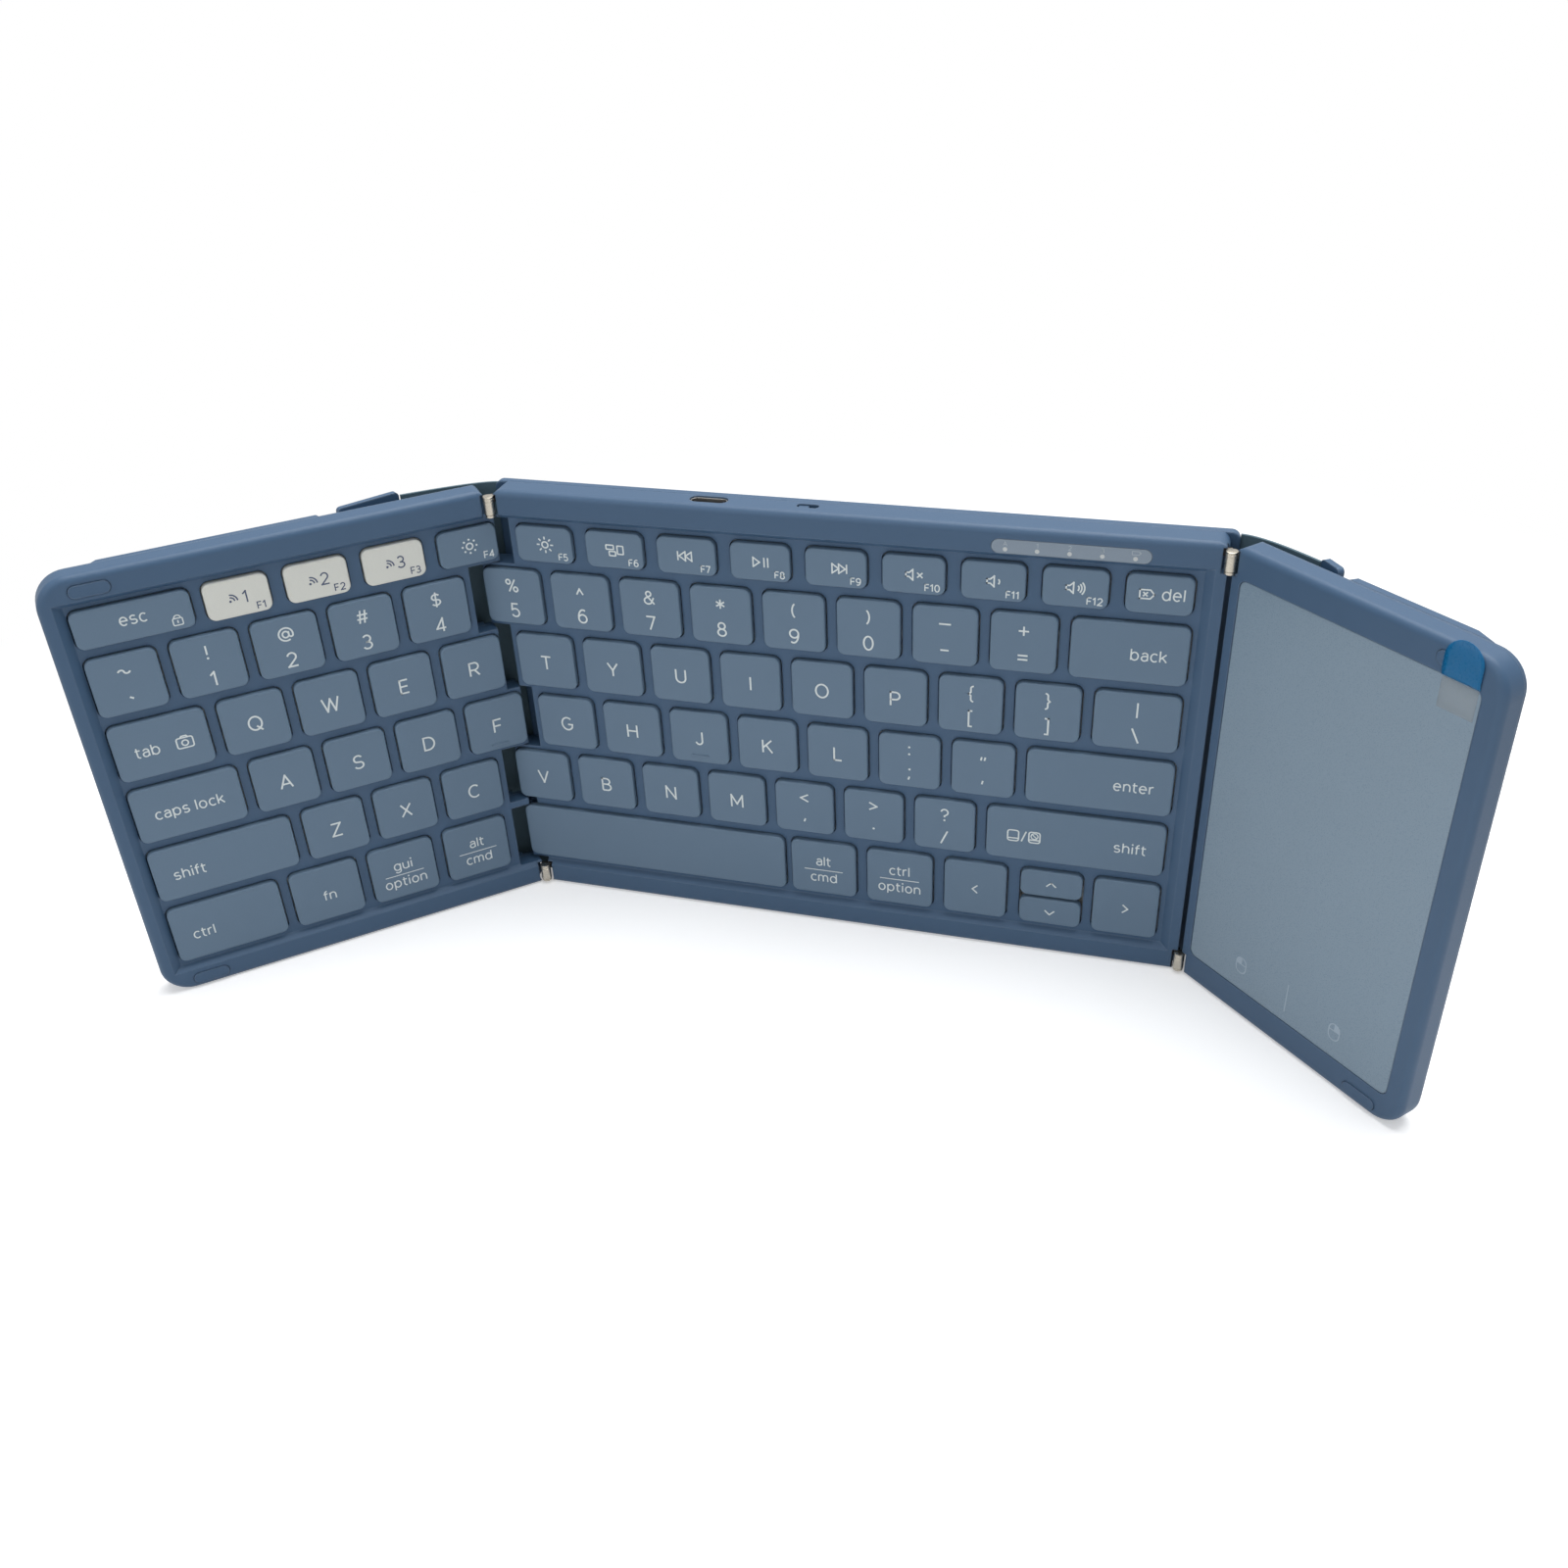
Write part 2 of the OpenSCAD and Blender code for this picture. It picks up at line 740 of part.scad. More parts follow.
module right_wing_frame() {
    pad_mid_x = pad_x + pad_w / 2;
    color(frame_blue) in_right_wing() difference() {
        intersection() {
            wing_body(-20, right_wing_w, split_z, 1);
            translate([fold_gap, front_y - 1, split_z - 1])
                cube([right_wing_w, rear_y - front_y + 2, -split_z + 2]);
        }
        // Seat of the touchpad plate
        translate([pad_mid_x, pad_mid_y, pad_top - pad_t_plate]) linear_extrude(3)
            rounded_rect(pad_w + 0.2, pad_l + 0.2, 1.9);
        // Bay under it
        translate([pad_mid_x, pad_mid_y, split_z - 1])
            linear_extrude(pad_top - pad_t_plate - split_z + 2)
                rounded_rect(pad_w - 3, pad_l - 3, 1.5);
        hinge_slots();
        end_corners(1);
        bumper_pads(right_bumper_x, bumper_depth, 1, 0.08);
        magnet_bars(right_magnet_x, 0.1);
    }
}

module right_wing_cover() {
    color(frame_blue) in_right_wing() difference() {
        intersection() {
            wing_body(-20, right_wing_w, -wing_t - 1, split_z);
            translate([fold_gap, front_y - 1, -wing_t - 1])
                cube([right_wing_w, rear_y - front_y + 2, wing_t]);
        }
        fold_relief(1);
        end_corners(1);
    }
}

module touchpad_plate() {
    color(glass_blue) in_right_wing()
        translate([pad_x + pad_w / 2, pad_mid_y, pad_top - pad_t_plate])
            linear_extrude(pad_t_plate) rounded_rect(pad_w, pad_l, 1.8);
}

module touchpad_board() {
    color("seagreen") in_right_wing()
        translate([pad_x + pad_w / 2, pad_mid_y, pad_top - pad_t_plate - pad_board_t])
            linear_extrude(pad_board_t) rounded_rect(pad_w - 5, pad_l - 5, 1);
}

module battery() {
    cell_w = 36;
    cell_l = 60;
    color("dimgray") in_right_wing() translate([pad_x + pad_w / 2, pad_mid_y, split_z])
        linear_extrude(pad_top - pad_t_plate - pad_board_t - split_z - 0.2)
            rounded_rect(cell_w, cell_l, 2);
}

module right_bumpers() {
    color(frame_blue) in_right_wing() bumper_pads(right_bumper_x, bumper_depth, bumper_rise);
}

module right_back_pad() {
    color(frame_blue) in_right_wing() back_pad(23.9, 52.6, 57.5, 1);
}

module right_magnets() {
    color("silver") in_right_wing() magnet_bars(right_magnet_x);
}

// Pull tab of the touchpad's protective film, lying on the rear bumper pad
module film_tab() {
    tab_w = 8.4;
    tab_l = 7;
    film_t = 0.15;
    color("#1f78b4") in_right_wing() translate([tab_x, tab_front_y, bumper_rise])
        linear_extrude(film_t) {
            translate([-tab_w / 2, 0]) square([tab_w, tab_l - tab_w / 2]);
            translate([0, tab_l - tab_w / 2]) circle(tab_w / 2);
        }
}

module right_flap_plate() {
    color(frame_blue) in_right_wing()
        flap_plate(right_flap_x, right_flap_w, right_flap_tilt, 1);
}

module right_spine_strip() {
    color(spine_teal) in_middle() translate([hinge_span, 0, 0])
        spine_strip(right_flap_x, right_flap_w, right_flap_tilt, right_fold, 1);
}

// ---- keys of the left wing ----

module esc_key() { in_left_wing() key_caps(esc_caps); }
module channel_keys() { in_left_wing() key_caps(channel_caps, channel_white); }
module f4_key() { in_left_wing() key_caps(f4_caps); }
module left_number_keys() { in_left_wing() key_caps(left_number_caps); }
module tab_key() { in_left_wing() key_caps(tab_caps); }
module left_upper_letters() { in_left_wing() key_caps(left_upper_caps); }
module caps_lock_key() { in_left_wing() key_caps(caps_lock_caps); }
module left_home_letters() { in_left_wing() key_caps(left_home_caps); }
module left_shift_key() { in_left_wing() key_caps(left_shift_caps); }
module left_lower_letters() { in_left_wing() key_caps(left_lower_caps); }
module left_modifier_keys() { in_left_wing() key_caps(left_modifier_caps); }

// ---- keys of the middle panel ----

module function_keys() { in_middle() key_caps(function_caps); }
module right_number_keys() { in_middle() key_caps(right_number_caps); }
module back_key() { in_middle() key_caps(back_caps); }
module right_upper_letters() { in_middle() key_caps(right_upper_caps); }
module backslash_key() { in_middle() key_caps(backslash_caps); }
module right_home_letters() { in_middle() key_caps(right_home_caps); }
module enter_key() { in_middle() key_caps(enter_caps); }
module right_lower_letters() { in_middle() key_caps(right_lower_caps); }
module right_shift_key() { in_middle() key_caps(right_shift_caps); }
module space_bar() { in_middle() key_caps(space_caps); }
module right_modifier_keys() { in_middle() key_caps(right_modifier_caps); }
module side_arrow_keys() { in_middle() key_caps(side_arrow_caps); }

// Half-height arrow key; side is +1 for the rear one of the pair
module half_arrow(side) {
    color(key_blue) in_middle()
        translate([up_down_x * pitch + key_origin, mod_row_y + side * arrow_y, 0])
            key_cap(up_down_w * pitch, arrow_h);
}
module up_key() { half_arrow(1); }
module down_key() { half_arrow(-1); }

middle_frame();
middle_back_plate();
middle_switch_plate();
middle_dome_sheet();
controller_board();
usb_c_port();
led_window();
power_switch();
left_hinge_leaves();
left_hinge_pins();
right_hinge_leaves();
right_hinge_pins();
left_wing_frame();
left_wing_cover();
left_switch_plate();
left_dome_sheet();
left_hinge_knuckles();
left_bumpers();
left_back_pad();
left_magnets();
right_wing_frame();
right_wing_cover();
touchpad_plate();
touchpad_board();
battery();
right_hinge_knuckles();
right_bumpers();
right_back_pad();
right_magnets();
film_tab();
left_spine_strip();
left_flap_plate();
right_spine_strip();
right_flap_plate();
esc_key();
channel_keys();
f4_key();
left_number_keys();
tab_key();
left_upper_letters();
caps_lock_key();
left_home_letters();
left_shift_key();
left_lower_letters();
left_modifier_keys();
function_keys();
right_number_keys();
back_key();
right_upper_letters();
backslash_key();
right_home_letters();
enter_key();
right_lower_letters();
right_shift_key();
space_bar();
right_modifier_keys();
side_arrow_keys();
up_key();
down_key();
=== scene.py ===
# %% [markdown]
# # A folding keyboard, half unfolded
#
# Three slim panels stand on their front edges: a wing with the left keys, a middle
# panel with the rest of the keys, and a wing that is one large touchpad. The packed
# solids give the places and the sizes. This notebook dresses them: it turns flat
# plans into key caps with soft edges, prints the legends, and mixes the plastics,
# the steel and the film.

import math

import bmesh
import bpy
from mathutils import Matrix, Vector


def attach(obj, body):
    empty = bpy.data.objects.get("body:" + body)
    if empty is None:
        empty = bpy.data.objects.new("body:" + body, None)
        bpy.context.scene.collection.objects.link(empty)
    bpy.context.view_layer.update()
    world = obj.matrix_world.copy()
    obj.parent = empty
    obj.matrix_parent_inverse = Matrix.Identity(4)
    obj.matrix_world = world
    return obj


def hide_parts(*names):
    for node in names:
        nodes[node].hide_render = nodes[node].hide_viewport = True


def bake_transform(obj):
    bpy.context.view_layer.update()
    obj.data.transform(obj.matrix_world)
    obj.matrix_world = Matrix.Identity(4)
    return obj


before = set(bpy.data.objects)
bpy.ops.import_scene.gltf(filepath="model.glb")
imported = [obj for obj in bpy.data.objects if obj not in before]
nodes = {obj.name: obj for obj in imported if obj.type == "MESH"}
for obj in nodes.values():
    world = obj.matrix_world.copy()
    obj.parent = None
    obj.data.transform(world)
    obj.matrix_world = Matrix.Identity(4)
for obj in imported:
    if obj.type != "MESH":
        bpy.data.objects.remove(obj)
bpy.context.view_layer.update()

# %% [markdown]
# ## Drawing on a folded panel
#
# Every detail is easier to draw on the keyboard lying flat: x to the right from the
# fold line, y to the rear, z up out of the keys, all in millimetres. One matrix per
# panel then stands that drawing up and folds it, so a legend lands on its key
# without any measuring in the folded state.

# %% The three deck frames
MM = 0.001
HINGE_SPAN = 171.0  # between the two fold lines
HALF_THICK = 4.7
FRONT_DEPTH = 87.4  # front wall to the number row
FOLD_AXIS_Z = 0.35
LEFT_FOLD = math.radians(42)
RIGHT_FOLD = math.radians(43)


def deck_frame(fold_x=0.0, fold=0.0):
    """Matrix from a flat panel in millimetres to the standing keyboard in metres."""
    stand = (
        Matrix.Translation((-HINGE_SPAN / 2 * MM, -HALF_THICK * MM, FRONT_DEPTH * MM))
        @ Matrix.Rotation(math.pi / 2, 4, "X")
        @ Matrix.Scale(MM, 4)
    )
    hinge = (
        Matrix.Translation((fold_x, 0, FOLD_AXIS_Z))
        @ Matrix.Rotation(fold, 4, "Y")
        @ Matrix.Translation((0, 0, -FOLD_AXIS_Z))
    )
    return stand @ hinge


DECKS = {
    "middle": deck_frame(),
    "left": deck_frame(0.0, LEFT_FOLD),
    "right": deck_frame(HINGE_SPAN, -RIGHT_FOLD),
}
print("touchpad corner stands at", DECKS["right"] @ Vector((2.9, 20.9, 0)))

# %% [markdown]
# ## The camera
#
# The photo looks down on the keyboard from above its right half. The key tops make
# three flat grids of known pitch, so a camera was fitted to them: its place, its
# three directions and its lens follow from that fit.

# %% Camera
CAMERA_PLACE = (0.07938, -0.30766, 0.24583)
LENS = 34.32
SENSOR_WIDTH = 36.0

camera_data = bpy.data.cameras.new("photo camera")
camera_data.sensor_width = SENSOR_WIDTH
camera_data.lens = LENS
camera = bpy.data.objects.new("photo camera", camera_data)
bpy.context.scene.collection.objects.link(camera)
right = Vector((0.96115, 0.27304, -0.04041))
up = Vector((-0.11517, 0.52978, 0.84028))
back = Vector((0.25084, -0.80298, 0.54065))
turn = Matrix((right, up, back)).transposed().to_4x4()
camera.matrix_world = Matrix.Translation(CAMERA_PLACE) @ turn
bpy.context.scene.camera = camera
print("camera looks along", -back)

# %% [markdown]
# ## Helpers for node trees
#
# A material, a sky and a Geometry Nodes tree are all node trees. These few helpers
# let the rest of the notebook say what a node does in one line: which inputs it
# has, whether as a number, a colour or another node's socket.

# %% Node helpers


def link(tree, a, b):
    """Joins two sockets of a node tree."""
    tree.links.new(a, b)


def node(tree, kind, inputs=None, **settings):
    """A new node; an input is given as a plain value or as a socket to link."""
    made = tree.nodes.new(kind)
    for name, value in settings.items():
        setattr(made, name, value)
    for name, value in (inputs or {}).items():
        if isinstance(value, bpy.types.NodeSocket):
            link(tree, value, made.inputs[name])
        else:
            made.inputs[name].default_value = value
    return made


def math_node(tree, operation, a, b, clamp=False):
    """The result of a Math node."""
    made = node(tree, "ShaderNodeMath", {0: a, 1: b}, operation=operation, use_clamp=clamp)
    return made.outputs[0]


def new_material(name):
    """An empty material with its output node."""
    material = bpy.data.materials.new(name)
    material.use_nodes = True
    material.node_tree.nodes.clear()
    return material, material.node_tree, node(material.node_tree, "ShaderNodeOutputMaterial")


def to_object(name, data):
    """A linked object for a mesh or a lamp."""
    obj = bpy.data.objects.new(name, data)
    bpy.context.scene.collection.objects.link(obj)
    return obj


print("node helpers are ready")

# %% [markdown]
# ## Floor, sky and lamps
#
# A product photo has one broad soft light overhead, a weak one in front, and a pale
# sheet that throws both back up. The floor is a plain pale plane; the sky lights
# evenly but shows white to the camera, to gloss and through film, which is what a
# studio sheet looks like.

# %% Floor and light
SQUARE = ((-1, -1), (1, -1), (1, 1), (-1, 1))
FLOOR_HALF = 9.0
SHADOW_REACH = 0.17  # the floor is shaded this far from the origin
WHITE_FROM = 0.36
PAPER_TONE = (0.80, 0.80, 0.80, 1)
FLOOR_GLOW = 0.34
SKY_TINT = (0.95, 0.97, 1.0, 1)
SKY_LIGHT = 0.42


def seen_rays(tree):
    """1 for what the camera, gloss and film show, 0 for light on the object."""
    rays = node(tree, "ShaderNodeLightPath")
    seen = rays.outputs["Is Camera Ray"]
    for name in ("Is Glossy Ray", "Is Transmission Ray"):
        seen = math_node(tree, "MAXIMUM", seen, rays.outputs[name])
    return seen


floor_mesh = bpy.data.meshes.new("studio_floor")
floor_mesh.from_pydata([(FLOOR_HALF * x, FLOOR_HALF * y, 0) for x, y in SQUARE], [], [(0, 1, 2, 3)])
studio_floor = to_object("studio_floor", floor_mesh)

floor_material, tree, output = new_material("pale studio floor")
seen = seen_rays(tree)
paper = node(tree, "ShaderNodeBsdfDiffuse", {"Color": PAPER_TONE})
glow = node(tree, "ShaderNodeEmission", {"Strength": math_node(tree, "MULTIPLY", seen, FLOOR_GLOW)})
near = node(tree, "ShaderNodeAddShader", {0: paper.outputs[0], 1: glow.outputs[0]})
place = node(tree, "ShaderNodeTexCoord")
distance = node(tree, "ShaderNodeVectorMath", {0: place.outputs["Object"]}, operation="LENGTH")
fade = node(tree, "ShaderNodeMapRange", {
    "Value": distance.outputs["Value"], "From Min": SHADOW_REACH, "From Max": WHITE_FROM,
}, interpolation_type="SMOOTHSTEP")
away = math_node(tree, "MULTIPLY", fade.outputs[0], seen)
white = node(tree, "ShaderNodeEmission")
sheet_mix = node(tree, "ShaderNodeMixShader", {0: away, 1: near.outputs[0], 2: white.outputs[0]})
link(tree, sheet_mix.outputs[0], output.inputs["Surface"])
floor_mesh.materials.append(floor_material)

world = bpy.data.worlds.new("studio sky")
bpy.context.scene.world = world
world.use_nodes = True
tree = world.node_tree
tree.nodes.clear()
sky = node(tree, "ShaderNodeBackground", {"Color": SKY_TINT, "Strength": SKY_LIGHT})
sheet = node(tree, "ShaderNodeBackground", {"Strength": 1.0})
mix = node(tree, "ShaderNodeMixShader", {
    0: seen_rays(tree), 1: sky.outputs[0], 2: sheet.outputs[0],
})
node(tree, "ShaderNodeOutputWorld", {"Surface": mix.outputs[0]})


def soft_lamp(name, place, aim, size, watts):
    """A square area lamp that points at a spot."""
    data = bpy.data.lights.new(name, "AREA")
    data.shape = "SQUARE"
    data.size = size
    data.energy = watts
    lamp = to_object(name, data)
    lamp.location = place
    lamp.rotation_euler = (Vector(aim) - Vector(place)).to_track_quat("-Z", "Y").to_euler()


soft_lamp("overhead softbox", (0.1, 0.25, 1.2), (0, 0, 0), 1.1, 20.0)
soft_lamp("front fill", (-0.5, -1.3, 0.9), (0, 0, 0.05), 1.0, 5.2)

bpy.context.scene.view_settings.view_transform = "Standard"
print("floor, sky and two lamps are up")

# %% [markdown]
# ## Surface recipes shared by the materials
#
# Moulded plastic is never one flat colour. Its mould was spark-eroded to a fine
# grain, and its colour drifts a little over the part. Its edges are rounded, so
# they catch more light: that is a painted highlight, a paler colour mixed in at the
# edge. One node group makes all three from Object coordinates, so each plastic only
# says how strong each effect is. Solids have razor-sharp edges: the Bevel node reads
# a rounded normal there, both for the shading and as the mask for that painted highlight.

# %% Group: moulded skin


def sockets(tree, in_out, *rows):
    """Adds sockets to a group, each from its name, its kind and its default value."""
    for name, kind, value in rows:
        made = tree.interface.new_socket(name, in_out=in_out, socket_type="NodeSocket" + kind)
        if value is not None:
            made.default_value = value


def noise(tree, scale, detail=2.0, roughness=0.5):
    """A noise texture on Object coordinates; scale is in waves per metre."""
    place = node(tree, "ShaderNodeTexCoord")
    made = node(tree, "ShaderNodeTexNoise", {
        "Vector": place.outputs["Object"], "Scale": scale, "Detail": detail, "Roughness": roughness,
    })
    return made.outputs["Fac"]


def mix_colour(tree, factor, a, b, mode="MIX"):
    """The result of a colour Mix node; 6 and 7 are its colour inputs."""
    made = node(tree, "ShaderNodeMix", {0: factor, 6: a, 7: b}, data_type="RGBA", blend_type=mode)
    return made.outputs[2]


DRIFT_SCALE = 55.0  # waves per metre
SPECK = 0.10
EDGE_GAIN = 4.0
# colour of the painted highlight that is mixed into rounded edges
EDGE_HIGHLIGHT_TINT = (0.55, 0.62, 0.72, 1)
GRAIN_HEIGHT = 0.00004
GRAIN_MATT = 0.25

skin = bpy.data.node_groups.new("moulded skin", "ShaderNodeTree")
sockets(skin, "INPUT", ("Base", "Color", (0.2, 0.2, 0.2, 1)), ("Drift", "Float", 0.05),
        ("Grain Scale", "Float", 4000.0), ("Grain Depth", "Float", 0.2),
        ("Edge Radius", "Float", 0.0003), ("Edge Highlight", "Float", 0.2),
        ("Roughness", "Float", 0.5))
sockets(skin, "OUTPUT", ("Colour", "Color", None), ("Roughness", "Float", None),
        ("Normal", "Vector", None))
into = node(skin, "NodeGroupInput")
out = node(skin, "NodeGroupOutput")

drift = math_node(skin, "SUBTRACT", noise(skin, DRIFT_SCALE, 3.0), 0.5)
drift = math_node(skin, "MULTIPLY", drift, into.outputs["Drift"])
grain = noise(skin, into.outputs["Grain Scale"], 1.0, 0.6)
centred_grain = math_node(skin, "SUBTRACT", grain, 0.5)
speck = math_node(skin, "MULTIPLY", centred_grain, SPECK)
lift = math_node(skin, "ADD", math_node(skin, "ADD", drift, speck), 1.0)

rounded = node(skin, "ShaderNodeBevel", {"Radius": into.outputs["Edge Radius"]}, samples=4)
flat = node(skin, "ShaderNodeNewGeometry")
facing = node(skin, "ShaderNodeVectorMath", {
    0: rounded.outputs[0], 1: flat.outputs["True Normal"],
}, operation="DOT_PRODUCT")
edge = math_node(skin, "SUBTRACT", 1.0, facing.outputs["Value"], clamp=True)
edge = math_node(skin, "MULTIPLY", edge, EDGE_GAIN, clamp=True)
# painted highlight: the edge mask sets how much of the paler colour is mixed in
pale = math_node(skin, "MULTIPLY", edge, into.outputs["Edge Highlight"])

tinted = mix_colour(skin, 1.0, into.outputs["Base"], lift, "MULTIPLY")
tinted = mix_colour(skin, pale, tinted, EDGE_HIGHLIGHT_TINT)
bump = node(skin, "ShaderNodeBump", {
    "Distance": GRAIN_HEIGHT, "Strength": into.outputs["Grain Depth"], "Height": grain,
    "Normal": rounded.outputs[0],
})
matt = math_node(skin, "MULTIPLY", centred_grain, GRAIN_MATT)
matt = math_node(skin, "ADD", into.outputs["Roughness"], matt, clamp=True)
link(skin, tinted, out.inputs["Colour"])
link(skin, matt, out.inputs["Roughness"])
link(skin, bump.outputs[0], out.inputs["Normal"])
print("moulded skin has", len(skin.nodes), "nodes")

# %% [markdown]
# ## The materials
#
# Each material is one Principled BSDF. What is the same all over, such as metallic
# or coat, is written on its sockets, and the group feeds only what varies. Colours
# are written as screen values of 0 to 255 and turned into light values here.

# %% Plastics, steel and film


def screen(r, g, b):
    """A colour read on a screen, as light values."""
    def light(v):
        v /= 255
        return v / 12.92 if v <= 0.04045 else ((v + 0.055) / 1.055) ** 2.4
    return (light(r), light(g), light(b), 1)


COAT_ROUGHNESS = 0.12


# An edge mix above zero paints a paler highlight along rounded edges.
def moulded(name, colour, roughness, grain_scale=4200.0, grain_depth=0.25, drift=0.05,
            edge_radius=0.0003, edge_highlight=0.0, metallic=0.0, coat=0.0, specular=0.5,
            alpha=1.0):
    """A material whose colour, roughness and normal come from the skin group."""
    material, tree, output = new_material(name)
    group = node(tree, "ShaderNodeGroup", node_tree=skin)
    values = (colour, drift, grain_scale, grain_depth, edge_radius, edge_highlight, roughness)
    for slot, value in zip(group.inputs, values):
        slot.default_value = value
    shader = node(tree, "ShaderNodeBsdfPrincipled", {
        "Metallic": metallic, "Coat Weight": coat, "Coat Roughness": COAT_ROUGHNESS,
        "Specular IOR Level": specular, "Alpha": alpha,
        "Base Color": group.outputs["Colour"], "Roughness": group.outputs["Roughness"],
        "Normal": group.outputs["Normal"],
    })
    link(tree, shader.outputs[0], output.inputs["Surface"])
    return material


shell_blue = moulded("soft blue shell", screen(58, 85, 113), 0.50, edge_radius=0.0005,
                     edge_highlight=0.12, specular=0.4)
key_blue = moulded("slate blue keys", screen(96, 117, 137), 0.42, edge_highlight=0.05, specular=0.25)
channel_white = moulded("ivory channel keys", screen(205, 206, 199), 0.42)
pad_blue = moulded("touchpad face", screen(118, 138, 154), 0.30, grain_depth=0.08,
                   coat=0.1, specular=0.4)
window_grey = moulded("frosted window", screen(122, 136, 150), 0.35, grain_depth=0.1)
STEEL = screen(182, 176, 164)
# near-black painted shade for the hinge leaf in its shadowed slot
LEAF_SLOT_SHADE = screen(34, 33, 34)
# Past this distance from the fold line the leaf steel gets that painted shade.
UNSHADED_REACH = 1.45 * MM  # from the fold line
hinge_steel = moulded("turned hinge steel", STEEL, 0.30, 2600.0, 0.2,
                      edge_radius=0.0001, metallic=1.0)
# The socket steel is toned darker than the hinge steel as painted shade for the socket's dark
# inside.
socket_steel_shaded = moulded("socket shell with painted shade", screen(150, 149, 147), 0.35, 2600.0, 0.1,
                     metallic=1.0)


def leaf_steel_with_painted_shade():
    """Steel round the fold line, with painted shade on the leaf, where its slot lies in shadow."""
    material = moulded("hinge leaf with painted shade", STEEL, 0.34, 2600.0, 0.2,
                       edge_radius=0.0001, metallic=1.0)
    tree = material.node_tree
    place = node(tree, "ShaderNodeTexCoord")
    apart = node(tree, "ShaderNodeSeparateXYZ", {0: place.outputs["Object"]})
    out_x = math_node(tree, "ABSOLUTE", apart.outputs["X"], 0.0)
    out_x = math_node(tree, "SUBTRACT", out_x, HINGE_SPAN / 2 * MM)
    out_y = math_node(tree, "ADD", apart.outputs["Y"], (HALF_THICK + FOLD_AXIS_Z) * MM)
    reach = math_node(tree, "ADD", math_node(tree, "MULTIPLY", out_x, out_x),
                      math_node(tree, "MULTIPLY", out_y, out_y))
    # painted shade: near-black on the leaf beyond that distance
    leaf = math_node(tree, "GREATER_THAN", reach, UNSHADED_REACH ** 2)
    group = next(n for n in tree.nodes if n.type == "GROUP")
    link(tree, mix_colour(tree, leaf, STEEL, LEAF_SLOT_SHADE), group.inputs["Base"])
    return material


leaf_shaded_steel = leaf_steel_with_painted_shade()
bright_steel = moulded("plated steel", screen(196, 196, 194), 0.28, 2600.0, 0.1,
                       metallic=1.0)
strip_teal = moulded("spine cloth strip", screen(74, 98, 110), 0.75, 2600.0, 0.8)
dome_white = moulded("silicone domes", screen(214, 214, 208), 0.55)
board_green = moulded("solder mask", screen(36, 92, 62), 0.35, 1500.0, 0.3,
                      drift=0.2)
cell_grey = moulded("foil wrapped cell", screen(96, 98, 102), 0.4, 900.0, 0.5)


def printed_ink(name, colour):
    """Ink is far thinner than an edge radius, so its edges stay sharp."""
    return moulded(name, colour, 0.5, 6000.0, 0.1, edge_radius=0.0)


ink_pale = printed_ink("pale legend ink", screen(206, 213, 213))
ink_dark = printed_ink("dark legend ink", screen(64, 76, 104))
ink_faint = printed_ink("faint pad marks", screen(150, 166, 180))
tab_blue = moulded("blue pull tab", screen(0, 107, 160), 0.3, 1800.0, 0.15,
                   edge_radius=0.0, specular=0.3, alpha=0.72)
film_haze = moulded("hazy film end", screen(182, 189, 192), 0.35, 1800.0, 0.15,
                    edge_radius=0.0, alpha=0.2)
print(len(bpy.data.materials), "materials")

# %% [markdown]
# ## Dressing the solids that stay
#
# The frames, covers, pads and hinges have the right shape already, with the deck
# sunk into the rim and a well round each key. They keep their meshes and only get
# a finish. A solid that is never seen still gets what it is made of, so the part
# looks right when it is taken apart.

# %% Finishes by solid


def pair(*names):
    """The left and the right solid of each name."""
    return [side + name for name in names for side in ("left_", "right_")]


FINISHES = {
    shell_blue: ["middle_frame", "middle_back_plate", "power_switch"]
                + pair("wing_frame", "wing_cover", "bumpers", "back_pad", "flap_plate"),
    pad_blue: ["touchpad_plate"],
    window_grey: ["led_window"],
    hinge_steel: pair("hinge_pins", "hinge_knuckles"),
    # the hinge leaves carry painted shade for their shadowed slot
    leaf_shaded_steel: pair("hinge_leaves"),
    bright_steel: pair("magnets") + ["middle_switch_plate", "left_switch_plate"],
    socket_steel_shaded: ["usb_c_port"],
    strip_teal: pair("spine_strip"),
    dome_white: ["left_dome_sheet", "middle_dome_sheet"],
    board_green: ["controller_board", "touchpad_board"],
    cell_grey: ["battery"],
}
for material, names in FINISHES.items():
    for name in names:
        nodes[name].data.materials.clear()
        nodes[name].data.materials.append(material)
print(sum(len(names) for names in FINISHES.values()), "solids have their finish")

# %% [markdown]
# ## The key plan
#
# Keys sit on a grid of 18 mm. A row is a list of centres and widths in that unit,
# and each key carries the name of its legend. The rows mesh along the left fold
# line, which is why the left wing ends in the half of a staggered grid.

# %% Rows of keys
PITCH = 18.0
KEY_ORIGIN = 2.4
KEY_TOP = -0.4
CAP_HEIGHT = 2.0
CAP_CORNER = 1.8
CAP_CORNER_STEPS = 5
CAP_WELD = 0.001
ROW_Y = (14.67, 0.0, -17.47, -34.94, -52.41, -70.65)
ROW_DEPTH = (9.1, 14.6, 14.6, 14.6, 14.6, 16.0)
STANDARD = 0.834
FUNCTION = 0.796
FUNCTION_PITCH = 1.0046
ARROW_DEPTH = 7.55
ARROW_SHIFT = (ROW_DEPTH[5] - ARROW_DEPTH) / 2


def run(first, names, width=STANDARD, step=1.0):
    """Keys of one width side by side."""
    return [(first + i * step, width, name) for i, name in enumerate(names)]


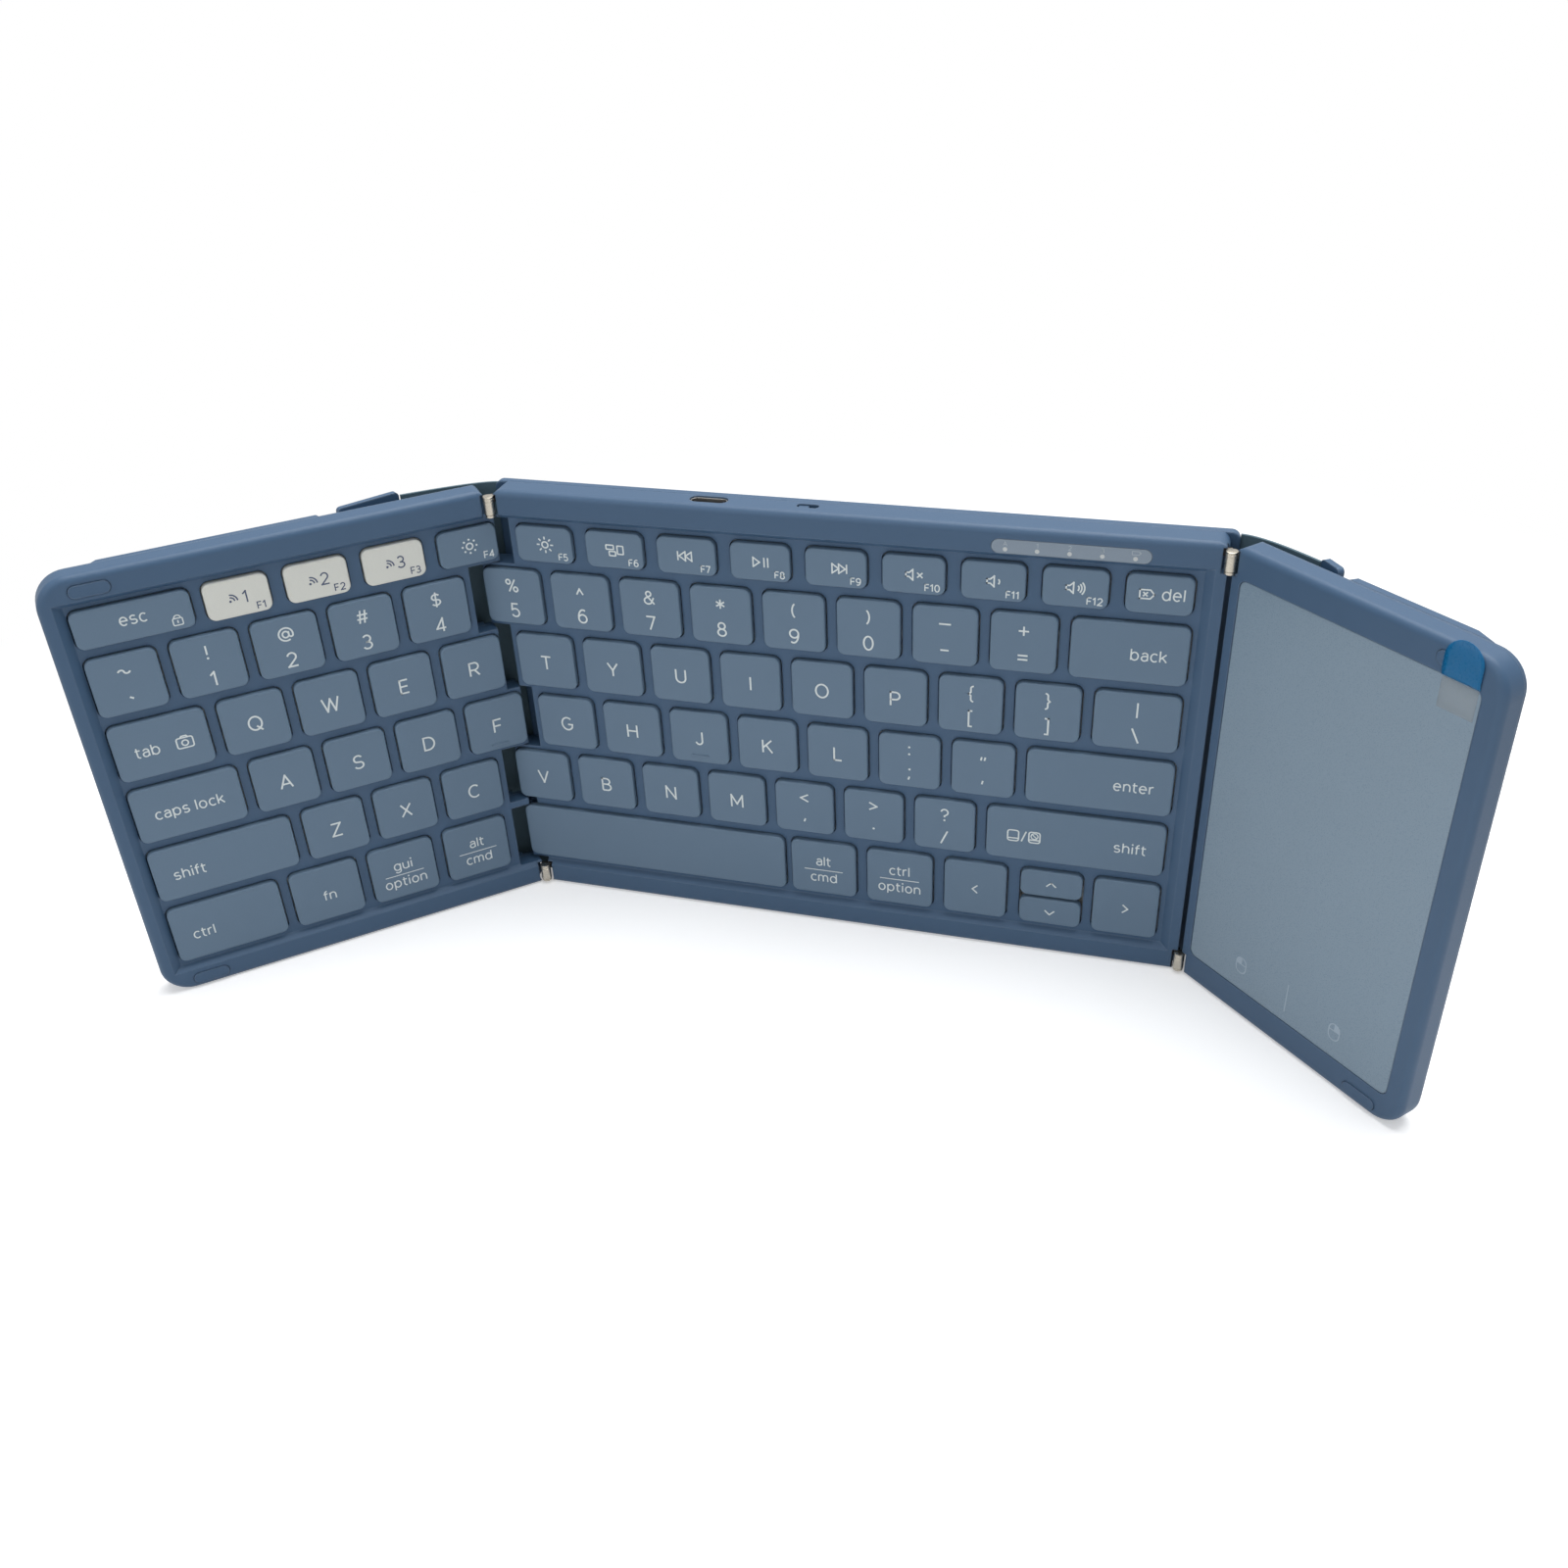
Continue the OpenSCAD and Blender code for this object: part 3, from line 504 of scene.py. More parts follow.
F_FIRST = -3.501
KEY_ROWS = {
    # solid: (panel, row, [(centre, width, legend), ...])
    "esc_key": ("left", 0, [(-4.765, 1.41, "esc")]),
    "channel_keys": ("left", 0, run(F_FIRST, ["F1", "F2", "F3"], FUNCTION, FUNCTION_PITCH)),
    "f4_key": ("left", 0, [(F_FIRST + 3 * FUNCTION_PITCH, FUNCTION, "F4")]),
    "left_number_keys": ("left", 1, [(-5.045, 0.847, "~`")]
                         + run(-4.0405, ["!1", "@2", "#3", "$4"])),
    "tab_key": ("left", 2, [(-4.872, 1.194, "tab")]),
    "left_upper_letters": ("left", 2, run(-3.69, "QWER")),
    "caps_lock_key": ("left", 3, [(-4.776, 1.389, "caps lock")]),
    "left_home_letters": ("left", 3, run(-3.501, "ASDF")),
    "left_shift_key": ("left", 4, [(-4.532, 1.887, "left shift")]),
    "left_lower_letters": ("left", 4, run(-3.004, "ZXC")),
    "left_modifier_keys": ("left", 5, [
        (-4.72, 1.501, "left ctrl"), (-3.33, 0.952, "fn"),
        (-2.214, 0.941, "gui option"), (-1.098, 0.935, "alt cmd"),
    ]),
    "function_keys": ("middle", 0, run(
        0.564, ["F5", "F6", "F7", "F8", "F9", "F10", "F11", "F12", "del"],
        FUNCTION, FUNCTION_PITCH)),
    "right_number_keys": ("middle", 1, run(
        0, ["%5", "^6", "&7", "*8", "(9", ")0", "_-", "+="])),
    "back_key": ("middle", 1, [(8.302, 1.433, "back")]),
    "right_upper_letters": ("middle", 2, run(0.355, ["T", "Y", "U", "I", "O", "P", "{[", "}]"])),
    "backslash_key": ("middle", 2, [(8.475, 1.069, "|\\")]),
    "right_home_letters": ("middle", 3, run(0.548, ["G", "H", "J", "K", "L", ":;", "\"'"])),
    "enter_key": ("middle", 3, [(8.074, 1.888, "enter")]),
    "right_lower_letters": ("middle", 4, run(0.047, ["V", "B", "N", "M", "<,", ">.", "?/"])),
    "right_shift_key": ("middle", 4, [(7.819, 2.372, "right shift")]),
    "space_bar": ("middle", 5, [(1.685, 4.06, "")]),
    "right_modifier_keys": ("middle", 5, [(4.299, 0.947, "alt cmd"), (5.416, 0.94, "ctrl option")]),
    "side_arrow_keys": ("middle", 5, [(6.499, 0.87, "left"), (8.575, 0.87, "right")]),
    "up_key": ("middle", 5, [(7.555, 0.84, "up")]),
    "down_key": ("middle", 5, [(7.555, 0.84, "down")]),
}


def key_places(solid):
    """Centre, size and legend of each key of a solid, in millimetres on its panel."""
    panel, row, keys = KEY_ROWS[solid]
    shift = {"up_key": ARROW_SHIFT, "down_key": -ARROW_SHIFT}.get(solid, 0.0)
    depth = ROW_DEPTH[row] if shift == 0 else ARROW_DEPTH
    return [
        (x * PITCH + KEY_ORIGIN, ROW_Y[row] + shift, w * PITCH, depth, name)
        for x, w, name in keys
    ]


print(sum(len(row[2]) for row in KEY_ROWS.values()), "keys on", len(KEY_ROWS), "solids")

# %% [markdown]
# ## Key caps with Geometry Nodes
#
# A cap is a flat plate about 2 mm thick with round corners, and every cap on the
# keyboard follows that one rule. So the plan is only one plain rectangle per key,
# and a node tree does the rest: rectangle to curve, corners filleted, filled,
# raised to its height, closed underneath. A Bevel modifier then rolls the edges,
# which gives the thin bright line that makes a key look moulded.

# %% The key cap tree
cap_tree = bpy.data.node_groups.new("key caps", "GeometryNodeTree")
sockets(cap_tree, "INPUT", ("Geometry", "Geometry", None),
        ("Corner Radius", "Float", CAP_CORNER), ("Corner Steps", "Int", CAP_CORNER_STEPS),
        ("Height", "Float", CAP_HEIGHT), ("Material", "Material", None))
sockets(cap_tree, "OUTPUT", ("Geometry", "Geometry", None))
into = node(cap_tree, "NodeGroupInput")
outline = node(cap_tree, "GeometryNodeMeshToCurve", {"Mesh": into.outputs["Geometry"]})
fillet = node(cap_tree, "GeometryNodeFilletCurve", {
    "Curve": outline.outputs[0], "Count": into.outputs["Corner Steps"],
    "Radius": into.outputs["Corner Radius"],
}, mode="POLY")
fill = node(cap_tree, "GeometryNodeFillCurve", {"Curve": fillet.outputs[0]}, mode="NGONS")
raise_top = node(cap_tree, "GeometryNodeExtrudeMesh", {
    "Mesh": fill.outputs[0], "Offset Scale": into.outputs["Height"], "Individual": False,
})
underside = node(cap_tree, "GeometryNodeFlipFaces", {"Mesh": fill.outputs[0]})
together = node(cap_tree, "GeometryNodeJoinGeometry")
link(cap_tree, raise_top.outputs["Mesh"], together.inputs[0])
link(cap_tree, underside.outputs[0], together.inputs[0])
weld = node(cap_tree, "GeometryNodeMergeByDistance", {
    "Geometry": together.outputs[0], "Distance": CAP_WELD,
})
real = node(cap_tree, "GeometryNodeRealizeInstances", {0: weld.outputs[0]})
dress = node(cap_tree, "GeometryNodeSetMaterial", {
    "Geometry": real.outputs[0], "Material": into.outputs["Material"],
})
node(cap_tree, "NodeGroupOutput", {"Geometry": dress.outputs[0]})
print("key cap tree has", len(cap_tree.nodes), "nodes")

# %% Grow the caps


def grow(obj, tree, values):
    """Adds a Geometry Nodes modifier and sets its inputs by name."""
    modifier = obj.modifiers.new(tree.name, "NODES")
    modifier.node_group = tree
    named = {s.name: s.identifier for s in tree.interface.items_tree if s.in_out == "INPUT"}
    for label, value in values.items():
        modifier[named[label]] = value


def bake(obj):
    """Swaps an object's modifiers for the mesh that they give."""
    bpy.context.view_layer.update()
    graph = bpy.context.evaluated_depsgraph_get()
    mesh = bpy.data.meshes.new_from_object(obj.evaluated_get(graph))
    obj.modifiers.clear()
    obj.data = mesh
    return mesh


def outward(mesh):
    """Points the faces of closed shells outwards."""
    shape = bmesh.new()
    shape.from_mesh(mesh)
    bmesh.ops.recalc_face_normals(shape, faces=shape.faces)
    shape.to_mesh(mesh)
    shape.free()


def closed_piece(name, shape, panel, material):
    """An object from a mesh drawn on a flat panel, with its faces pointing outwards."""
    bmesh.ops.recalc_face_normals(shape, faces=shape.faces)
    mesh = bpy.data.meshes.new(name)
    shape.to_mesh(mesh)
    shape.free()
    mesh.transform(DECKS[panel])
    mesh.materials.append(material)
    return to_object(name, mesh)


CAP_EDGE = 0.38
CAP_EDGE_FROM = math.radians(50)  # the wall of a round corner turns less than this
CAP_GROWTH = 0.07  # the printed cap is a hair wider than its solid
SUNK = Matrix.Translation((0, 0, KEY_TOP - CAP_HEIGHT))
for solid, (panel, row, keys) in KEY_ROWS.items():
    plan = bpy.data.meshes.new(solid + "_plan")
    corners = [
        (x + sx * (w / 2 + CAP_GROWTH), y + sy * (d / 2 + CAP_GROWTH), 0)
        for x, y, w, d, name in key_places(solid)
        for sx, sy in SQUARE
    ]
    faces = [tuple(range(start, start + 4)) for start in range(0, len(corners), 4)]
    plan.from_pydata(corners, [], faces)
    caps = to_object(solid + "_caps", plan)
    plastic = channel_white if solid == "channel_keys" else key_blue
    grow(caps, cap_tree, {"Material": plastic, "Height": CAP_HEIGHT})
    outward(bake(caps))
    caps.data.transform(DECKS[panel] @ SUNK)
    roll = caps.modifiers.new("rolled edge", "BEVEL")
    roll.width = CAP_EDGE * MM
    roll.segments = 3
    roll.limit_method = "ANGLE"
    roll.angle_limit = CAP_EDGE_FROM
    roll.harden_normals = True
    caps.data.shade_smooth()
    bake(caps)
    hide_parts(solid)
    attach(caps, solid + "_body")
print(len(caps.data.polygons), "faces in the last set of caps")

# %% [markdown]
# ## Printing the legends
#
# Legends are pad-printed ink, thinner than paper. Every sign is a pen line: a ribbon
# of one width along a few points, laid flat on the key and given a hair of
# thickness so that it is a closed shape. Single signs are centred on their own
# outline, and words stand on a common baseline.

# %% Pen strokes and icons
INK = 0.012
INK_REST = 0.004  # height of the ink's underside over the surface
INK_STEP = 0.004  # crossing strokes lie at different heights, so they never coincide
INK_LEVELS = 5
INK_WELD = 0.0005
PEN = 0.34


def ribbon(points, width, loop=False):
    """Four-cornered polygons along a line that has no sharp corner."""
    count = len(points)
    sides = []
    for i, (x, y) in enumerate(points):
        before = points[i - 1] if loop or i else None
        after = points[(i + 1) % count] if loop or i < count - 1 else None
        steps = [heading(a, b) for a, b in ((before, (x, y)), ((x, y), after)) if a and b]
        tx = sum(s[0] for s in steps)
        ty = sum(s[1] for s in steps)
        length = math.hypot(tx, ty)
        tx, ty = tx / length, ty / length
        half = width / 2 / (tx * steps[0][0] + ty * steps[0][1])
        sides.append(((x - ty * half, y + tx * half), (x + ty * half, y - tx * half)))
    pairs = zip(sides, sides[1:] + sides[:1]) if loop else zip(sides, sides[1:])
    return [[a[1], b[1], b[0], a[0]] for a, b in pairs]


def heading(a, b):
    """Unit direction from one point to another."""
    length = math.hypot(b[0] - a[0], b[1] - a[1])
    return (b[0] - a[0]) / length, (b[1] - a[1]) / length


SHARP = 0.6  # cosine of the turn past which a corner is drawn square


def stroke(points, width=PEN, closed=False):
    """A pen line: one ribbon for each smooth stretch, square at sharp corners."""
    points = [p for p, q in zip(points, [None] + list(points)) if p != q]
    if closed and points[0] != points[-1]:
        points.append(points[0])

    def turns(a, b, c):
        (ax, ay), (bx, by) = heading(a, b), heading(b, c)
        return ax * bx + ay * by < SHARP

    runs = [[points[0]]]
    for a, b, c in zip(points, points[1:], points[2:]):
        runs[-1].append(b)
        if turns(a, b, c):
            runs.append([b])
    runs[-1].append(points[-1])
    soft_start = closed and not turns(points[-2], points[0], points[1])
    if soft_start and len(runs) == 1:
        return ribbon(points[:-1], width, loop=True)
    if soft_start:
        runs[0] = runs.pop()[:-1] + runs[0]
    shapes = []
    for i, line in enumerate(runs):
        square = (closed or i > 0, closed or i < len(runs) - 1)
        for end, (tip, inner) in enumerate(((0, 1), (-1, -2))):
            if square[end]:
                dx, dy = heading(line[inner], line[tip])
                line[tip] = (line[tip][0] + dx * width / 2, line[tip][1] + dy * width / 2)
        shapes += ribbon(line, width)
    return shapes


def arc(cx, cy, radius, start=0, end=360, steps=12):
    """Points along a circle, in degrees."""
    return [
        (cx + radius * math.cos(math.radians(start + (end - start) * i / steps)),
         cy + radius * math.sin(math.radians(start + (end - start) * i / steps)))
        for i in range(steps + (end - start < 360))
    ]


def ring(cx, cy, radius, width=PEN):
    """A circle drawn with the pen."""
    return stroke(arc(cx, cy, radius, steps=16), width, closed=True)


def round_box(x, y, w, h, r=0.5):
    """Outline of a box with round corners, about its centre."""
    corners = ((1, 1, 0), (-1, 1, 90), (-1, -1, 180), (1, -1, 270))
    return [
        p for sx, sy, turn in corners
        for p in arc(x + sx * (w / 2 - r), y + sy * (h / 2 - r), r, turn, turn + 90, 3)
    ]


def box(x, y, w, h, r=0.15, width=PEN):
    """A box drawn with the pen."""
    return stroke(round_box(x, y, w, h, r), width, closed=True)


def placed(shapes, x, y, scale=1.0, about=(0.0, 0.0)):
    """The same polygons, scaled about a point that is then put at x, y."""
    ax, ay = about
    return [[((px - ax) * scale + x, (py - ay) * scale + y) for px, py in shape]
            for shape in shapes]


def mirror(shapes):
    """The same shapes, left to right."""
    return [[(-x, y) for x, y in reversed(shape)] for shape in shapes]


def sun(rays):
    """A small ring with eight rays or eight dots round it."""
    shapes = ring(0, 0, 0.78, 0.36)
    for a in (i * math.pi / 4 for i in range(8)):
        dx, dy = math.cos(a), math.sin(a)
        if rays:
            shapes += stroke([(dx * 1.38, dy * 1.38), (dx * 2.12, dy * 2.12)], 0.36)
        else:
            shapes.append(arc(dx * 1.72, dy * 1.72, 0.27, steps=8))
    return shapes


def triangle(x, size=1.15):
    """An outlined arrow head that points right."""
    return stroke([(x, size), (x + 1.55, 0), (x, -size)], closed=True)


def speaker(x):
    return stroke([(x, 0.5), (x + 0.75, 0.5), (x + 1.6, 1.3), (x + 1.6, -1.3), (x + 0.75, -0.5),
                   (x, -0.5)], closed=True)


def cross(x, y, size):
    return (stroke([(x - size, y - size), (x + size, y + size)])
            + stroke([(x - size, y + size), (x + size, y - size)]))


def sound(x, count):
    """Arcs of sound beside a speaker."""
    return [p for i in range(count) for p in stroke(arc(x - 0.9, 0, 0.9 + 0.62 * i, -42, 42, 5))]


STOP_BAR = stroke([(2.3, 1.15), (2.3, -1.15)])
SKIP = triangle(0.45) + triangle(-1.1) + STOP_BAR
PAD = box(0, 0, 2.7, 3.1, 0.6) + stroke([(-1.2, -0.75), (1.2, -0.75)])
ICONS = {
    "dim": sun(rays=False),
    "bright": sun(rays=True),
    "windows": box(-1.3, 0.75, 1.9, 1.1) + box(-0.75, -0.85, 1.6, 1.1) + box(1.3, 0.15, 1.5, 2.1),
    "rewind": mirror(SKIP),
    "play": triangle(-1.9, 1.15) + stroke([(0.75, 1.2), (0.75, -1.2)])
            + stroke([(1.65, 1.2), (1.65, -1.2)]),
    "forward": SKIP,
    "mute": speaker(-2.0) + cross(1.2, 0, 0.62),
    "quiet": speaker(-1.7) + sound(1.1, 1),
    "loud": speaker(-2.3) + sound(0.5, 3),
    "erase": stroke([(-1.55, 1.05), (0.7, 1.05), (1.6, 0), (0.7, -1.05), (-1.55, -1.05)],
                    closed=True) + cross(-0.35, 0, 0.5),
    "camera": box(0, -0.15, 3.7, 2.7, 0.5) + ring(0, -0.2, 0.72)
              + stroke([(-0.9, 1.2), (-0.55, 1.65), (0.55, 1.65), (0.9, 1.2)]),
    "lock": box(0, -0.45, 2.1, 1.7, 0.3, 0.26) + stroke(arc(0, 0.4, 0.75, 0, 180, 8), 0.26)
            + stroke([(0, -0.1), (0, -0.8)], 0.3),
    "pad": PAD,
    "pad off": PAD + ring(0, 0.35, 0.85, 0.26) + stroke([(-0.6, 0.95), (0.6, -0.25)], 0.26),
    "slash": stroke([(-0.55, -1.5), (0.55, 1.5)]),
    "wave": [arc(-0.75, -0.7, 0.3, steps=10)] + stroke(arc(-0.75, -0.7, 0.95, 0, 90, 6))
            + stroke(arc(-0.75, -0.7, 1.6, 0, 90, 7)),
    "left": stroke([(0.65, 1.2), (-0.65, 0), (0.65, -1.2)]),
    "right": stroke([(-0.65, 1.2), (0.65, 0), (-0.65, -1.2)]),
    "up": stroke([(-1.2, -0.6), (0, 0.6), (1.2, -0.6)]),
    "down": stroke([(-1.2, 0.6), (0, -0.6), (1.2, 0.6)]),
    "divider": stroke([(-5.1, 0), (5.1, 0)], 0.22),
}
print(len(ICONS), "icons drawn")

# %% [markdown]
# ## An alphabet drawn with the same pen
#
# The legends on the real keys are monoline letters: every stroke has one width, and
# the round parts are parts of an ellipse. So the alphabet is written as the path
# that a pen would take, on a grid where a capital is ten units tall. A path is a
# list of corner points and bows, which keeps each letter to one short line.

# %% Letters, digits and signs
CAPITAL = 10.0
X_HEIGHT = 7.2
NIB = 1.2
SMALL_NIB = 1.6
LETTER_GAP = 2.7
WORD_GAP = 6.5


def bow(cx, cy, rx, ry, start=0, end=360):
    """Points along part of an ellipse, in degrees."""
    steps = max(3, round(abs(end - start) / 18))
    turns = [math.radians(start + (end - start) * i / steps) for i in range(steps + 1)]
    return [(round(cx + rx * math.cos(t), 4), round(cy + ry * math.sin(t), 4)) for t in turns]


def tick(x, y, w=0.5, h=2.8):
    """A short leaning mark, as in quotes and commas."""
    return [(x + w, y + h), (x, y)]


S_CURVE = bow(3.2, 7.35, 2.8, 2.65, 28, 235) + bow(3.2, 2.6, 3.1, 2.6, 55, -152)
BOWL = bow(2.9, X_HEIGHT / 2, 2.9, X_HEIGHT / 2)
P_CURVE = [(0, 0), (0, 10), (3.4, 10)] + bow(3.4, 7.25, 2.75, 2.75, 90, -90) + [(0, 4.5)]
GLYPHS = {
    "A": [[(0, 0), (3.9, 10), (7.8, 0)], [(1.3, 3.2), (6.5, 3.2)]],
    "B": [[(0, 0), (0, 10), (3.2, 10)] + bow(3.2, 7.6, 2.4, 2.4, 90, -90) + [(0, 5.2)],
          [(2.8, 5.2), (3.5, 5.2)] + bow(3.5, 2.6, 2.7, 2.6, 90, -90) + [(0, 0)]],
    "C": [bow(4.1, 5, 4.1, 5, 48, 312)],
    "D": [[(0, 0), (0, 10), (2.8, 10)] + bow(2.8, 5, 4.5, 5, 90, -90) + [(0, 0)]],
    "E": [[(5.5, 10), (0, 10), (0, 0), (5.5, 0)], [(0, 5.1), (5.0, 5.1)]],
    "F": [[(5.5, 10), (0, 10), (0, 0)], [(0, 5.0), (4.9, 5.0)]],
    "G": [bow(4.1, 5, 4.1, 5, 48, 325) + [(7.8, 4.5), (4.5, 4.5)]],
    "H": [[(0, 0), (0, 10)], [(7, 0), (7, 10)], [(0, 5.1), (7, 5.1)]],
    "I": [[(0, 0), (0, 10)]],
    "J": [[(4.7, 10), (4.7, 2.6)] + bow(2.35, 2.6, 2.35, 2.6, 0, -165)],
    "K": [[(0, 0), (0, 10)], [(6.3, 10), (0, 3.7)], [(2.3, 6.0), (6.7, 0)]],
    "L": [[(0, 10), (0, 0), (5.2, 0)]],
    "M": [[(0, 0), (0, 10), (4.1, 2.6), (8.2, 10), (8.2, 0)]],
    "N": [[(0, 0), (0, 10), (6.9, 0), (6.9, 10)]],
    "O": [bow(4.2, 5, 4.2, 5)],
    "P": [P_CURVE],
    "Q": [bow(4.2, 5, 4.2, 5), [(4.8, 2.9), (8.2, -0.8)]],
    "R": [P_CURVE, [(3.2, 4.5), (6.4, 0)]],
    "S": [S_CURVE],
    "T": [[(0, 10), (7.2, 10)], [(3.6, 10), (3.6, 0)]],
    "U": [[(0, 10), (0, 3.4)] + bow(3.4, 3.4, 3.4, 3.4, 180, 360) + [(6.8, 10)]],
    "V": [[(0, 10), (3.8, 0), (7.6, 10)]],
    "W": [[(0, 10), (2.8, 0), (5.5, 9.3), (8.2, 0), (11, 10)]],
    "X": [[(0, 10), (6.9, 0)], [(0, 0), (6.9, 10)]],
    "Y": [[(0, 10), (3.6, 4.5), (7.2, 10)], [(3.6, 4.5), (3.6, 0)]],
    "Z": [[(0, 10), (6.4, 10), (0, 0), (6.6, 0)]],
    "0": [bow(3.1, 5, 3.1, 5)],
    "1": [[(0, 7.7), (2.7, 10), (2.7, 0)]],
    "2": [bow(3.0, 7.1, 2.8, 2.9, 165, -38) + [(0, 0), (6.2, 0)]],
    "3": [bow(2.9, 7.5, 2.5, 2.5, 150, -90) + [(2.0, 5.0)],
          [(2.0, 5.0)] + bow(2.9, 2.5, 2.9, 2.5, 90, -155)],
    "4": [[(4.6, 0), (4.6, 10), (0, 2.6), (6.4, 2.6)]],
    "5": [[(5.4, 10), (1.0, 10), (0.6, 5.3)] + bow(2.9, 3.1, 2.9, 3.1, 125, -150)],
    "6": [bow(3.0, 3.1, 3.0, 3.1), bow(3.6, 3.6, 3.6, 6.4, 62, 180)],
    "7": [[(0, 10), (6.1, 10), (2.3, 0)]],
    "8": [bow(3.0, 7.6, 2.4, 2.4), bow(3.0, 2.6, 2.9, 2.6)],
    "9": [bow(3.0, 6.9, 3.0, 3.1), bow(2.4, 6.4, 3.6, 6.4, -118, 0)],
    "a": [bow(2.6, 5.1, 2.2, 2.1, 160, 0) + [(4.8, 0)],
          [(4.8, 4.3), (2.2, 4.2)] + bow(2.1, 2.1, 2.1, 2.1, 90, 270)
          + bow(2.5, 2.3, 2.3, 2.3, 280, 340)],
    "b": [[(0, 10), (0, 0)], BOWL],
    "c": [bow(2.9, 3.6, 2.9, 3.6, 48, 312)],
    "d": [[(5.8, 10), (5.8, 0)], BOWL],
    "e": [[(0.1, 3.8), (5.7, 3.8)] + bow(2.9, 3.6, 2.8, 3.6, 4, 315)],
    "f": [[(1.4, 0), (1.4, 7.6)] + bow(3.4, 7.7, 2.0, 2.2, 180, 85), [(0, 6.9), (3.8, 6.9)]],
    "g": [[(5.8, 7.2), (5.8, -0.6)] + bow(3.1, -0.6, 2.7, 2.3, 0, -150), BOWL],
    "h": [[(0, 10), (0, 0)], bow(2.6, 4.4, 2.6, 2.8, 180, 0) + [(5.2, 0)]],
    "i": [[(0, 7.2), (0, 0)]],
    "k": [[(0, 10), (0, 0)], [(4.8, 7.2), (0, 2.6)], [(1.8, 4.3), (5.2, 0)]],
    "l": [[(0, 10), (0, 0)]],
    "m": [[(0, 7.2), (0, 0)], bow(2.2, 4.7, 2.2, 2.5, 180, 0) + [(4.4, 0)],
          bow(6.6, 4.7, 2.2, 2.5, 180, 0) + [(8.8, 0)]],
    "n": [[(0, 7.2), (0, 0)], bow(2.6, 4.4, 2.6, 2.8, 180, 0) + [(5.2, 0)]],
    "o": [BOWL],
    "p": [[(0, 7.2), (0, -2.9)], BOWL],
    "r": [[(0, 7.2), (0, 0)], bow(2.6, 4.4, 2.6, 2.8, 180, 75)],
    "s": [bow(2.5, 5.3, 2.2, 1.9, 35, 240) + bow(2.5, 1.9, 2.4, 1.9, 60, -150)],
    "t": [[(1.4, 9.4), (1.4, 2.0)] + bow(3.4, 2.0, 2.0, 2.0, 180, 278), [(0, 7.0), (4.0, 7.0)]],
    "u": [[(0, 7.2), (0, 2.8)] + bow(2.6, 2.7, 2.6, 2.7, 180, 360), [(5.2, 7.2), (5.2, 0)]],
    "~": [bow(1.9, 0, 1.9, 1.4, 180, 15) + bow(5.7, 0, 1.9, 1.4, 195, 360)],
    "`": [[(0, 1.4), (2.2, 0)]],
    "!": [[(0, 10), (0, 3.1)]],
    "@": [bow(4.9, 4.9, 2.2, 2.4), [(7.1, 7.1), (7.1, 4.3)] + bow(8.5, 4.3, 1.4, 1.6, 180, 350)
          + bow(5, 5, 4.95, 5, 8, 300)],
    "#": [[(2.9, 10), (1.5, 0)], [(6.3, 10), (4.9, 0)], [(0.3, 6.7), (7.7, 6.7)],
          [(0, 3.3), (7.4, 3.3)]],
    "$": [[(x, y * 0.86 + 0.7) for x, y in S_CURVE], [(3.2, 10.9), (3.2, -0.9)]],
    "%": [bow(1.9, 7.9, 1.7, 1.9), bow(7.3, 2.1, 1.7, 1.9), [(7.3, 10), (1.9, 0)]],
    "^": [[(0, 0), (2.5, 4.6), (5.0, 0)]],
    "&": [[(7.6, 0), (1.7, 6.9)], bow(3.4, 8.0, 1.9, 2.0, 205, -35) + [(1.5, 4.8)]
          + bow(2.9, 2.6, 2.9, 2.6, 130, 325) + [(7.2, 5.2)]],
    "*": [[(0, 3.6), (0, -3.6)], [(-3.1, 1.8), (3.1, -1.8)], [(-3.1, -1.8), (3.1, 1.8)]],
    "(": [bow(6.4, 5, 5.2, 7, 130, 230)],
    ")": [bow(-3.9, 5, 5.2, 7, -50, 50)],
    "_": [[(0, 0), (8.4, 0)]],
    "-": [[(0, 0), (5.6, 0)]],
    "+": [[(0, 3.5), (7.0, 3.5)], [(3.5, 0), (3.5, 7.0)]],
    "=": [[(0, 0), (6.4, 0)], [(0, 3.0), (6.4, 3.0)]],
    "{": [[(3.4, 11.2)] + bow(3.3, 9.4, 1.9, 1.8, 90, 180) + [(1.4, 6.4), (0, 5), (1.4, 3.6)]
          + bow(3.3, 0.6, 1.9, 1.8, 180, 270)],
    "}": [[(0, 11.2)] + bow(0.1, 9.4, 1.9, 1.8, 90, 0) + [(2.0, 6.4), (3.4, 5), (2.0, 3.6)]
          + bow(0.1, 0.6, 1.9, 1.8, 0, -90)],
    "[": [[(2.4, 11), (0, 11), (0, -1), (2.4, -1)]],
    "]": [[(0, 11), (2.4, 11), (2.4, -1), (0, -1)]],
    "|": [[(0, 10.4), (0, -1.4)]],
    "\\": [[(0, 10), (4.6, -0.8)]],
    "/": [[(0, -0.8), (4.6, 10)]],
    ":": [], ".": [],
    ";": [tick(-0.9, -1.9, 0.9, 2.5)],
    ",": [tick(0, 0, 0.9, 2.6)],
    '"': [tick(0, 0, 0.6, 2.9), tick(2.6, 0, 0.6, 2.9)],
    "'": [tick(0, 0, 0.7, 2.9)],
    "<": [[(6.0, 8.2), (0, 5), (6.0, 1.8)]],
    ">": [[(0, 8.2), (6.0, 5), (0, 1.8)]],
    "?": [bow(2.7, 7.4, 2.6, 2.6, 170, -50) + [(2.7, 4.2), (2.7, 3.1)]],
}
DOTS = {"!": [(0, 0.4)], "?": [(2.7, 0.4)], "i": [(0, 9.7)], ":": [(0, 6.6), (0, 0.6)],
        ".": [(0, 0.6)], ";": [(0, 6.6)]}
DOT_RADIUS = 0.85


